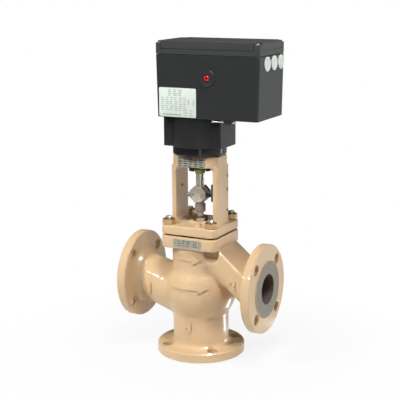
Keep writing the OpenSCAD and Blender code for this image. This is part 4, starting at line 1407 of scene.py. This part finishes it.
@dataclass
class Plate:
    """A flat plate or label on a front face, with lines of print."""

    name: str
    low: Pair
    high: Pair
    face_y: float
    finish: Finish
    slot: str
    thick: float = 0.6
    corner: float = 1.5

    @property
    def front(self) -> float:
        """Y of the plate's front."""
        return self.face_y - self.thick

    def bars(self, finish: Finish, height: float, spans: list[Span], kind: str) -> None:
        """Prints bars on the plate.

        Args:
            finish: finish of the print.
            height: height of each bar in millimetres.
            spans: left end, right end and height of each bar, as shares of the plate.
            kind: last part of the piece's name.
        """
        (low_x, low_z), (high_x, high_z) = self.low, self.high
        wide, tall = high_x - low_x, high_z - low_z
        proud, sunk = self.front - 0.05, self.front + 0.1
        strips = []
        for left, right, up in spans:
            z = low_z + tall * up
            strips.append(block("bar", (low_x + wide * left, proud, z - height / 2),
                                (low_x + wide * right, sunk, z + height / 2)))
        dress(joined("bars", strips), f"{self.name}_{kind}", Body.VALVE, finish, self.slot)

    def rivets(self) -> None:
        """Sets a rivet near each end of the plate."""
        profile, inset = [(1.5, 0), (1.4, 0.4), (0.9, 0.8), (0.3, 0.9)], 2.4
        z = (self.low[1] + self.high[1]) / 2
        heads = [place(turned("rivet", profile, 20), (x, self.front, z), Axis.FRONT)
                 for x in (self.low[0] + inset, self.high[0] - inset)]
        dress(joined("rivets", heads), f"{self.name}_rivets", Body.VALVE, ALUMINIUM, "bare_alloy")

    def build(self) -> None:
        """Builds the plate itself."""
        (low_x, low_z), (high_x, high_z) = self.low, self.high
        sheet = block(self.name, (low_x, self.front, low_z), (high_x, self.face_y + 0.2, high_z))
        round_edges(sheet, self.corner, along(Line.Y), 4)
        dress(soften(sheet, 0.12, 2), self.name, Body.VALVE, self.finish, self.slot)


def words(rows: int, columns: int, across: Pair, upward: Pair) -> list[Span]:
    """Spreads bars of uneven length over a field, as lines of small print.

    Args:
        rows: lines of print.
        columns: bars in each line.
        across: left and right edge of the field, as shares of the plate.
        upward: height of its lowest and its highest line, likewise.
    Returns:
        Left end, right end and height of each bar.
    """
    (left, right), (low, high) = across, upward
    least, spread, steps, per_row, per_column = 0.45, 0.4, 7, 5, 3
    cell = (right - left) / columns
    spans = []
    for row in range(rows):
        for column in range(columns):
            start = left + cell * column
            share = least + spread * ((row * per_row + column * per_column) % steps) / steps
            spans.append((start, start + cell * share, high - (high - low) * row / max(rows - 1, 1)))
    return spans


def build_plates() -> None:
    """Sets the two metal plates on the casting and the white label on the case."""
    deck = Plate("body_plate", (-25.5, 196.8), (26.5, 211.0), -52.0, PLATE, "bare_alloy")
    deck.build()
    deck.bars(ETCH, 1.3, words(3, 3, (0.16, 0.64), (0.24, 0.78)), "lines")
    deck.bars(ETCH, 1.6, words(3, 2, (0.72, 0.88), (0.24, 0.78)), "marks")
    head = Plate("head_plate", (-26.0, 332.0), (25.5, 347.5), -32.0, PLATE, "bare_alloy")
    head.build()
    head.bars(ETCH, 1.7, words(4, 5, (0.04, 0.98), (0.13, 0.88)), "lines")
    deck.rivets()
    head.rivets()
    label = Plate("case_label", (-49.2, 418.9), (19.4, 467.0), -51.2, LABEL_WHITE, "plug_plastic", 0.25, 2.5)
    label.build()
    label.bars(PRINT_GREY, 1.1, words(4, 3, (0.25, 0.66), (0.74, 0.92)), "title")
    label.bars(PRINT_GREY, 1.0, words(7, 6, (0.06, 0.78), (0.24, 0.66)), "lines")
    label.bars(PRINT_GREY, 1.0, words(3, 2, (0.68, 0.96), (0.07, 0.24)), "foot")
    table = words(4, 1, (0.79, 0.83), (0.44, 0.6)) + words(3, 1, (0.92, 0.97), (0.44, 0.6))
    label.bars(PRINT_BLACK, 1.2, table, "table")
    label.bars(PRINT_BLACK, 1.4, words(1, 7, (0.12, 0.6), (0.08, 0.08)), "signs")


@dataclass
class Actuator:
    """Cap, winged cylinder block, case with its lid, cable plugs, manual override and stored key."""

    left: float = -54.3
    right: float = 130.7
    half_d: float = 51.2
    floor_z: float = 417.7
    rim_z: float = 521.0
    wall: float = 3.5
    edge_r: float = 4.0
    draft: float = 1.2
    barrel_r: float = 42.3
    lid_gap: float = 1.0
    lid_shelf: float = 19.0
    lid_h: float = 22.0
    lid_lip: float = 1.4
    post: float = 9.5
    groove_z: float = 9.0
    groove_w: float = 1.0
    groove_d: float = 0.9
    screw_inset: float = 5.0
    screw_r: float = 2.3
    vent_at: Point = (21.0, 25.0, 543.0)
    override_x: float = 39.7
    override_z: float = 485.0
    bezel_r: float = 14.0
    bezel_hole_r: float = 9.0
    socket_r: float = 4.2
    hex_r: float = 2.1
    entry_ys: Point = (-20.1, 7.8, 35.5)
    entry_z: float = 508.0
    entry_r: float = 8.3
    plug_r: float = 11.8
    plug_x: float = 131.6
    sleeve_z: float = 325.4
    wiper_z: float = 317.0
    key_at: Point = (48.0, -47.0, 414.5)
    key_r: float = 1.3
    key_l: float = 42.0

    @property
    def middle(self) -> float:
        """X of the case's middle."""
        return (self.left + self.right) / 2

    @property
    def override_at(self) -> Point:
        """Place of the override on the case's front."""
        return self.override_x, -self.half_d, self.override_z

    def widen(self, piece: Piece, grow: float, test: Test) -> Piece:
        """Widens some faces of a piece in X about the case's middle, for the mould's draft.

        Args:
            piece: object to change.
            grow: growth on each side in millimetres.
            test: which faces are widened, by centre and normal.
        Returns:
            The same object.
        """
        share = 1 + 2 * grow / (self.right - self.left)
        with editing(piece) as mesh:
            pick_faces(piece, mesh, test)
            bpy.ops.transform.resize(value=(share, 1, 1), center_override=(self.middle * MM, 0, 0))
        return piece

    def case(self) -> Piece:
        """Models the case: a drafted box with round corners, open at the top.

        Returns:
            The case in its place.
        """
        low, high = (self.left, -self.half_d, self.floor_z), (self.right, self.half_d, self.rim_z)
        box = round_edges(block("case", low, high), self.edge_r, along(Line.Z), 6)
        facing = 0.9
        self.widen(box, -self.draft, lambda centre, normal: normal.z < -facing)
        self.widen(box, self.draft, lambda centre, normal: normal.z > facing)
        soften(box, 0.9, 3, 40)
        wall = self.wall
        hollow = block("hollow", (self.left + wall, wall - self.half_d, self.floor_z + wall),
                       (self.right - wall, self.half_d - wall, self.rim_z + 5))
        reach = 8
        tools = [hollow, rod(self.barrel_r, self.floor_z - 1, self.floor_z + 6)]
        for y in self.entry_ys:
            tools.append(place(rod(self.entry_r, -reach, reach), (self.right, y, self.entry_z), Axis.RIGHT))
        tools.append(place(rod(self.bezel_hole_r, -reach, reach), self.override_at, Axis.FRONT))
        return combine(box, Join.CUT, *tools)

    def lid(self) -> Piece:
        """Models the lid: a hollow box with four screw posts and grooved panels between them.

        Returns:
            The lid in its place.
        """
        low, shelf, top = (self.rim_z + z for z in (self.lid_gap, self.lid_shelf, self.lid_h))
        deep, left, right = self.half_d, self.left - self.lid_lip, self.right + self.lid_lip
        post, lap = self.post, shelf - 2
        lid = block("lid", (left, -deep, low), (right, deep, shelf))
        round_edges(lid, self.edge_r, along(Line.Z), 6)
        combine(lid, Join.FUSE, block("panel", (left + post, -deep, lap), (right - post, deep, top)),
                block("panel", (left, post - deep, lap), (right, deep - post, top)))
        soften(lid, 0.5, 2, 40)
        wall, core, under, roof = self.wall, post + 1, low - 1, top - self.wall
        tools = self.lid_grooves(left, right, top)
        tools.append(block("hollow", (left + core, wall - deep, under), (right - core, deep - wall, roof)))
        tools.append(block("hollow", (left + wall, core - deep, under), (right - wall, deep - core, roof)))
        inset = self.screw_inset
        for x in (self.left + inset, self.right - inset):
            tools += [place(rod(self.screw_r, under, top), (x, y, 0)) for y in (inset - deep, deep - inset)]
        return combine(lid, Join.CUT, *tools)

    def lid_grooves(self, left: float, right: float, top: float) -> list[Piece]:
        """Models the grooves that frame the lid's four panels as cutting tools.

        Args:
            left: x of the lid's left side.
            right: x of its right side.
            top: height of its top.
        Returns:
            The cutting tools.
        """
        wide, sunk, post, deep = self.groove_w, self.groove_d, self.post, self.half_d
        foot = self.rim_z + self.groove_z
        tools = []
        for face, end in ((-deep, left), (deep, right)):
            near, far, inner, outer = face - sunk, face + sunk, end - sunk, end + sunk
            tools.append(block("groove", (left + post, near, foot), (right - post, far, foot + wide)))
            tools.append(block("groove", (inner, post - deep, foot), (outer, deep - post, foot + wide)))
            for x in (left + post, right - post - wide):
                tools.append(block("groove", (x, near, foot), (x + wide, far, top + 1)))
            for y in (post - deep, deep - post - wide):
                tools.append(block("groove", (inner, y, foot), (outer, y + wide, top + 1)))
        return tools

    def plug(self, y: float) -> Piece:
        """Models one blind plug with a rim and a ring in its face.

        Args:
            y: place of its axis in millimetres.
        Returns:
            The plug in its place.
        """
        r, shank, high, low = self.plug_r, self.entry_r - 0.2, 1.9, 1.5
        disc = turned("plug", [(shank, -4), (shank, 0.2), (r, 0.3), (r, 1.4), (r - 0.6, high),
                               (r - 1.8, high), (r - 2.2, low), (r - 3.6, low), (r - 4.0, high), (3.4, high),
                               (3.0, low), (0.5, low)])
        return place(disc, (self.plug_x, y, self.entry_z), Axis.RIGHT)

    def gasket(self, y: float) -> Piece:
        """Models the flat ring under one plug's rim."""
        ring = combine(rod(self.plug_r - 0.4, 0, 0.3), Join.CUT, rod(self.entry_r + 0.1, -1, 1))
        return place(ring, (self.plug_x, y, self.entry_z), Axis.RIGHT)

    def override(self) -> None:
        """Builds the bezel on the case and the red socket that turns in it."""
        at = self.override_at
        r, shank, inner = self.bezel_r, self.bezel_hole_r - 0.2, self.socket_r
        bezel = turned("bezel", [(shank, -4), (shank, 0), (r, 0), (r, 1.0), (r - 0.7, 1.6), (r - 1.6, 1.6),
                                 (r - 2.2, 1.2), (inner + 1.2, 1.2), (inner + 0.9, 0.9)], 72)
        combine(bezel, Join.CUT, rod(inner + 0.35, -6, 4))
        dress(place(bezel, at, Axis.FRONT), "override_ring", Body.VALVE, CASE_PLASTIC, "case_plastic",
              "override_bezel")
        socket = turned("socket", [(inner, -4.5), (inner, 1.9), (inner - 0.5, 2.4), (0.5, 2.4)], 48)
        combine(socket, Join.CUT, rod(self.hex_r, -2, 4, 6))
        place(socket, at, Axis.FRONT)
        # Inside the hexagon hole the red socket is painted black as painted shade
        x, _, z = at
        inside = self.hex_r + 0.2
        paint_faces(socket, [RED_PLASTIC, FITTING_PLASTIC_AND_SHADE], lambda centre, normal: (
            FITTING_PLASTIC_AND_SHADE if math.hypot(centre.x - x, centre.z - z) < inside else RED_PLASTIC))
        dress(socket, "override_hexagon", Body.OVERRIDE, RED_PLASTIC, "red_plastic", "override_socket")

    def sleeve(self) -> Piece:
        """Models the short sleeve in the cap's mouth, round the wiper."""
        ring = combine(turned("sleeve", [(14.6, 0), (15, 0.4), (15, 2.6)]), Join.CUT, rod(9.4, -5, 5))
        return place(ring, (0, 0, self.sleeve_z))

    def wiper(self) -> Piece:
        """Models the wiper, a cone that opens upwards to its rim, with a neck in the cap."""
        cone = turned("wiper", [(7.4, 0), (8.0, 0.2), (10.9, 6.4), (10.9, 8.4), (9.2, 8.5), (9.2, 13.5)])
        return place(combine(cone, Join.CUT, rod(7.1, -2, 15)), (0, 0, self.wiper_z))

    def key(self) -> Piece:
        """Models the stored key, a thin rod with a ball end.

        Returns:
            The key in its place.
        """
        shaft = place(rod(self.key_r, 0, self.key_l, 24), self.key_at, Axis.RIGHT)
        ball = turned("ball", [(0.5, -2.4), (1.7, -1.7), (2.4, 0), (1.7, 1.7), (0.5, 2.4)], 32)
        return combine(shaft, Join.FUSE, place(ball, self.key_at))

    def build(self) -> None:
        """Builds the whole actuator over the yoke."""
        dress_copy("mounting_nut", 0.5, "ring_nut", Body.VALVE, BLACK_STEEL_AND_SHADE, "dark_steel")
        dress_copy("end_cap", 0.5, "cylinder_cap", Body.VALVE, BLACK_LACQUER, "black_alloy")
        dress(self.sleeve(), "cap_sleeve", Body.VALVE, BLACK_LACQUER, "black_alloy")
        dress(self.wiper(), "green_wiper", Body.VALVE, GREEN_RUBBER, "green_rubber", "rod_wiper")
        dress_copy("cylinder_housing", 1.0, "cylinder_block", Body.VALVE, POWDER_COAT, "black_alloy")
        dress(self.case(), "drive_case", Body.VALVE, CASE_PLASTIC, "case_plastic", "actuator_case",
              level=True)
        dress(self.lid(), "drive_lid", Body.VALVE, LID_PLASTIC, "case_plastic", "cover", level=True)
        vent = turned("vent", [(1.8, -0.5), (1.8, 0.3), (1.2, 0.5), (0.3, 0.5)], 24)
        dress(place(vent, self.vent_at), "lid_vent", Body.VALVE, FITTING_PLASTIC_AND_SHADE, "case_plastic")
        plugs = joined("plugs", [self.plug(y) for y in self.entry_ys])
        dress(plugs, "cable_plugs", Body.VALVE, WHITE_PLASTIC, "plug_plastic", "blind_plugs")
        seals = joined("seals", [self.gasket(y) for y in self.entry_ys])
        dress(seals, "plug_gaskets", Body.VALVE, BLACK_RUBBER, "seal_rubber", "plug_seals")
        self.override()
        dress(self.key(), "spare_key", Body.VALVE, BRIGHT_STEEL, "stainless", "override_key")
        dress_copy("key_clip", 0.5, "spare_key_clip", Body.VALVE, FITTING_PLASTIC_AND_SHADE, "case_plastic")


@dataclass
class CastMarks:
    """Raised flow arrows and plain port numbers on the casting."""

    casting: Piece
    raise_h: float = 2.4
    edge: float = 0.5
    start_y: float = -110.0
    number_h: float = 24.0
    weight: float = 0.06
    head_r: float = 9.5
    bar_half: float = 2.4
    cuts: int = 3

    def wrapped(self, mark: Piece, at: Pair) -> Piece:
        """Lays a flat mark on the casting's front and gives it thickness.

        Args:
            mark: flat mesh object in the XY plane.
            at: x and z of its middle in millimetres.
        Returns:
            The mark.
        """
        place(mark, (at[0], self.start_y, at[1]), Axis.FRONT)
        with editing(mark):
            bpy.ops.mesh.select_all(action="SELECT")
            bpy.ops.mesh.subdivide(number_cuts=self.cuts)
        modify(mark, "SHRINKWRAP", target=self.casting, wrap_method="PROJECT", use_project_y=True,
               use_positive_direction=True, use_negative_direction=False)
        modify(mark, "SOLIDIFY", thickness=2 * self.raise_h * MM, offset=0.0)
        return soften(mark, self.edge, 2, 50)

    def number(self, digit: str, at: Pair) -> Piece:
        """Models one port number.

        Args:
            digit: the number.
            at: x and z of its middle in millimetres.
        Returns:
            The number on the casting.
        """
        bpy.ops.object.select_all(action="DESELECT")
        bpy.ops.object.text_add()
        mark = bpy.context.object
        mark.data.body = digit
        mark.data.size = self.number_h * MM
        mark.data.align_x, mark.data.align_y = "CENTER", "CENTER"
        mark.data.offset = self.weight * self.number_h * MM
        bpy.ops.object.convert(target="MESH")
        return self.wrapped(mark, at)

    def arrow(self, at: Pair, length: float) -> Piece:
        """Models one flow arrow that points right.

        Args:
            at: x and z of its middle in millimetres.
            length: its length.
        Returns:
            The arrow on the casting.
        """
        half_t, neck = 0.5, length / 2 - self.head_r
        bpy.ops.object.select_all(action="DESELECT")
        bpy.ops.mesh.primitive_cylinder_add(vertices=3, radius=self.head_r * MM, depth=2 * half_t * MM)
        mark = place(bpy.context.object, (neck, 0, 0), (0, 0, -90))
        combine(mark, Join.FUSE, block("shaft", (-length / 2, -self.bar_half, -half_t),
                                       (neck, self.bar_half, half_t)))
        with editing(mark) as mesh:
            pick_faces(mark, mesh, lambda centre, normal: normal.z < 0.5)
            bpy.ops.mesh.delete(type="FACE")
            bpy.ops.mesh.select_all(action="SELECT")
            bpy.ops.mesh.quads_convert_to_tris()
            bpy.ops.mesh.subdivide(number_cuts=self.cuts)
        return self.wrapped(mark, at)

    def build(self) -> None:
        """Sets an arrow on the globe and one on the neck under the deck, and a number at each port."""
        marks = [self.arrow((4, 128), 64), self.arrow((0, 176), 44), self.number("1", (-80, 112)),
                 self.number("2", (80, 138)), self.number("3", (0, 54))]
        dress(joined("marks", marks), "cast_marks", Body.VALVE, SMOOTH_ENAMEL, "cast_paint", smooth=40)


PLAIN_NODES: dict[Finish, tuple[str, ...]] = {
    STAINLESS: ("upper_seat_ring", "lower_seat_ring", "plug_stem", "upper_plug", "lower_plug", "plug_spacer",
                "plug_nut", "actuator_stem", "packing_washer", "packing_spring", "return_spring",
                "cover_screws", "case_screws", "override_shaft", "override_key"),
    NICKEL_AND_HIGHLIGHT: ("connector_front", "connector_rear", "connector_stud"),
    ZINC: ("body_studs", "body_nuts"),
    DARK_STEEL_AND_SHADE: ("gland_nut", "lock_nut", "connector_screws", "piston_nut"),
    BLACK_STEEL_AND_SHADE: ("mounting_nut",),
    BRONZE: ("guide_bush", "rod_guide_bush"),
    POWDER_COAT: ("cylinder_housing",),
    BLACK_LACQUER: ("end_cap",),
    ALUMINIUM: ("pump_block", "pump_motor", "piston"),
    CASE_PLASTIC: ("actuator_case", "cover"),
    FITTING_PLASTIC_AND_SHADE: ("override_bezel", "key_clip", "travel_scale", "travel_pointer"),
    WHITE_PLASTIC: ("blind_plugs", "terminal_strip"),
    PACKING: ("packing_rings",),
    RED_PLASTIC: ("override_socket",),
    GREEN_RUBBER: ("rod_wiper",),
    BLACK_RUBBER: ("cover_seal", "plug_seals", "piston_seal", "body_gasket"),
    RESIST: ("circuit_board",),
    ENAMEL: ("valve_body", "bonnet_yoke"),
}


def finish_plain_nodes() -> None:
    """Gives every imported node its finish, also those that a modelled piece stands for."""
    for finish, nodes in PLAIN_NODES.items():
        for name in nodes:
            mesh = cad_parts[name].data
            mesh.materials.clear()
            mesh.materials.append(finish.material())


@dataclass(frozen=True)
class Lamp:
    """One area light: its place, width and height in metres, its power in watts and its use."""

    name: str
    at: Point
    size: Pair
    watts: float
    use: LampUse

    def build(self, aim: Vector) -> None:
        """Adds the light to the scene, turned to a point.

        Args:
            aim: the point in metres.
        """
        data = bpy.data.lights.new(self.name, "AREA")
        data.shape = "RECTANGLE"
        data.size, data.size_y = self.size
        data.energy = self.watts
        light = bpy.data.objects.new(self.name, data)
        light.location = self.at
        light.rotation_euler = (aim - Vector(self.at)).to_track_quat("-Z", "Y").to_euler()
        light.visible_diffuse, light.visible_glossy = self.use.value
        light.visible_camera = False
        bpy.context.scene.collection.objects.link(light)


LAMPS = (
    # Three lamps light the surfaces: from the left front, from the right and from above
    Lamp("key", (-0.9, -1.5, 1.6), (0.4, 0.4), 39, LampUse.SOFT),
    Lamp("fill", (2.0, 0.0, 0.2), (0.3, 0.3), 12, LampUse.SOFT),
    Lamp("top", (0.5, -0.55, 1.9), (0.3, 0.3), 18, LampUse.SOFT),
    # The others only show as highlights in the enamel, the lacquer and the bright steel
    Lamp("gleam", (0.8, -0.35, 1.9), (0.4, 0.4), 80, LampUse.GLINT),
    Lamp("spot", (-0.7, -1.7, 1.5), (0.16, 0.16), 7, LampUse.GLINT),
    Lamp("strip", (1.2, 1.05, 0.3), (0.1, 1.2), 5, LampUse.GLINT),
    Lamp("slit", (0.8, -1.55, 0.35), (0.08, 1.0), 1.5, LampUse.GLINT),
    Lamp("edge", (0.118, 0.088, 0.022), (0.026, 0.05), 0.085, LampUse.GLINT),
)


@dataclass
class Studio:
    """Camera, pale floor, soft lights and white surroundings."""

    azimuth: float = 26.987
    elevation: float = 12.409
    roll: float = -0.403
    distance: float = 1806.5
    target_z: float = 269.85
    sideways: float = -0.48
    focal_px: float = 1052.04
    frame_px: int = 400
    sensor: float = 36.0
    clip_end: float = 50.0
    glow_way: Point = (0.6, 0.35, -0.9)
    dim: float = 0.13
    glow: float = 0.47
    floor_size: float = 2.4
    floor_z: float = -0.0005
    floor_grey: float = 0.7
    shadow: float = 0.12
    shadow_reach: Pair = (0.1, 0.4)

    def camera(self) -> None:
        """Sets the camera at the photograph's viewing angle."""
        turn, lift = math.radians(self.azimuth), math.radians(self.elevation)
        back = Vector((math.sin(turn) * math.cos(lift), -math.cos(turn) * math.cos(lift), math.sin(lift)))
        right = Vector((math.cos(turn), math.sin(turn), 0))
        up = back.cross(right)
        tilt = math.radians(self.roll)
        across = right * math.cos(tilt) + up * math.sin(tilt)
        upward = up * math.cos(tilt) - right * math.sin(tilt)
        eye = (Vector((0, 0, self.target_z)) + right * self.sideways + back * self.distance) * MM
        data = bpy.data.cameras.new("camera")
        data.sensor_width = self.sensor
        data.lens = self.sensor * self.focal_px / self.frame_px
        data.clip_end = self.clip_end
        camera = bpy.data.objects.new("camera", data)
        camera.matrix_world = Matrix((across, upward, back)).transposed().to_4x4()
        camera.matrix_world.translation = eye
        bpy.context.scene.collection.objects.link(camera)
        bpy.context.scene.camera = camera

    def seen(self, tree: bpy.types.NodeTree) -> bpy.types.NodeSocket:
        """Gives 1 where the camera, a reflection or glass sees a surface, and 0 where it lights another.

        Args:
            tree: node tree of the floor or of the world.
        Returns:
            The socket that carries the 1 or 0.
        """
        path = add_node(tree, "ShaderNodeLightPath")
        mirror = add_node(tree, "ShaderNodeMath", links={0: path.outputs["Is Glossy Ray"],
                                                         1: path.outputs["Is Transmission Ray"]},
                          operation="MAXIMUM")
        return add_node(tree, "ShaderNodeMath", links={0: path.outputs["Is Camera Ray"],
                                                       1: mirror.outputs[0]}, operation="MAXIMUM").outputs[0]

    def floor(self) -> None:
        """Lays the pale floor, which shows white with a faint shadow round the object."""
        bpy.ops.object.select_all(action="DESELECT")
        bpy.ops.mesh.primitive_plane_add(size=self.floor_size, location=(0, 0, self.floor_z))
        plane = bpy.context.object
        plane.name = "floor"
        made = bpy.data.materials.new("pale_floor")
        made.use_nodes = True
        tree = made.node_tree
        tree.nodes.clear()
        grey = self.floor_grey
        matt = add_node(tree, "ShaderNodeBsdfDiffuse", {"Color": (grey, grey, grey, 1)})
        glow = add_node(tree, "ShaderNodeEmission", {"Color": WHITE, "Strength": 1.0})
        spot = add_node(tree, "ShaderNodeTexCoord")
        away = add_node(tree, "ShaderNodeVectorMath", links={0: spot.outputs["Object"]}, operation="LENGTH")
        near, far = self.shadow_reach
        fade = add_node(tree, "ShaderNodeMapRange",
                        {"From Min": near, "From Max": far, "To Min": 1 - self.shadow, "To Max": 1.0},
                        {"Value": away.outputs["Value"]})
        share = add_node(tree, "ShaderNodeMath", links={0: fade.outputs[0], 1: self.seen(tree)},
                         operation="MULTIPLY")
        mix = add_node(tree, "ShaderNodeMixShader", links={0: share.outputs[0], 1: matt.outputs[0],
                                                           2: glow.outputs[0]})
        add_node(tree, "ShaderNodeOutputMaterial", links={"Surface": mix.outputs[0]})
        plane.data.materials.append(made)

    def surroundings(self) -> None:
        """Fills the world with light from behind and below, which shows white behind the object."""
        world = bpy.data.worlds.new("studio")
        bpy.context.scene.world = world
        world.use_nodes = True
        tree = world.node_tree
        tree.nodes.clear()
        way = add_node(tree, "ShaderNodeTexCoord")
        tilt = add_node(tree, "ShaderNodeVectorMath", {1: self.glow_way}, {0: way.outputs["Generated"]},
                        operation="DOT_PRODUCT")
        soft, paper = (add_node(tree, "ShaderNodeMapRange", {"To Min": self.dim, "To Max": most},
                                {"Value": tilt.outputs["Value"]}) for most in (self.glow, 1.0))
        path = add_node(tree, "ShaderNodeLightPath")
        bright = add_node(tree, "ShaderNodeMath", operation="MAXIMUM",
                          links={0: paper.outputs[0], 1: path.outputs["Is Camera Ray"]})
        light = add_node(tree, "ShaderNodeBackground", {"Color": WHITE}, {"Strength": soft.outputs[0]})
        white = add_node(tree, "ShaderNodeBackground", {"Color": WHITE}, {"Strength": bright.outputs[0]})
        mix = add_node(tree, "ShaderNodeMixShader", links={0: self.seen(tree), 1: light.outputs[0],
                                                           2: white.outputs[0]})
        add_node(tree, "ShaderNodeOutputWorld", links={"Surface": mix.outputs[0]})

    def build(self) -> None:
        """Builds the camera, the floor and the light."""
        self.camera()
        self.floor()
        self.surroundings()
        for lamp in LAMPS:
            lamp.build(Vector((0, 0, self.target_z * MM)))
        bpy.context.scene.view_settings.view_transform = "Standard"


def main() -> None:
    """Builds the sub-assemblies in order."""
    logging.basicConfig(level=logging.INFO, format="%(message)s")
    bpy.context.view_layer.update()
    Studio().build()
    finish_plain_nodes()
    CastBody().build()
    YokeBonnet().build()
    StudSet().build()
    StemConnector().build()
    TravelScale().build()
    Actuator().build()
    build_plates()


if __name__ == "__main__":
    main()
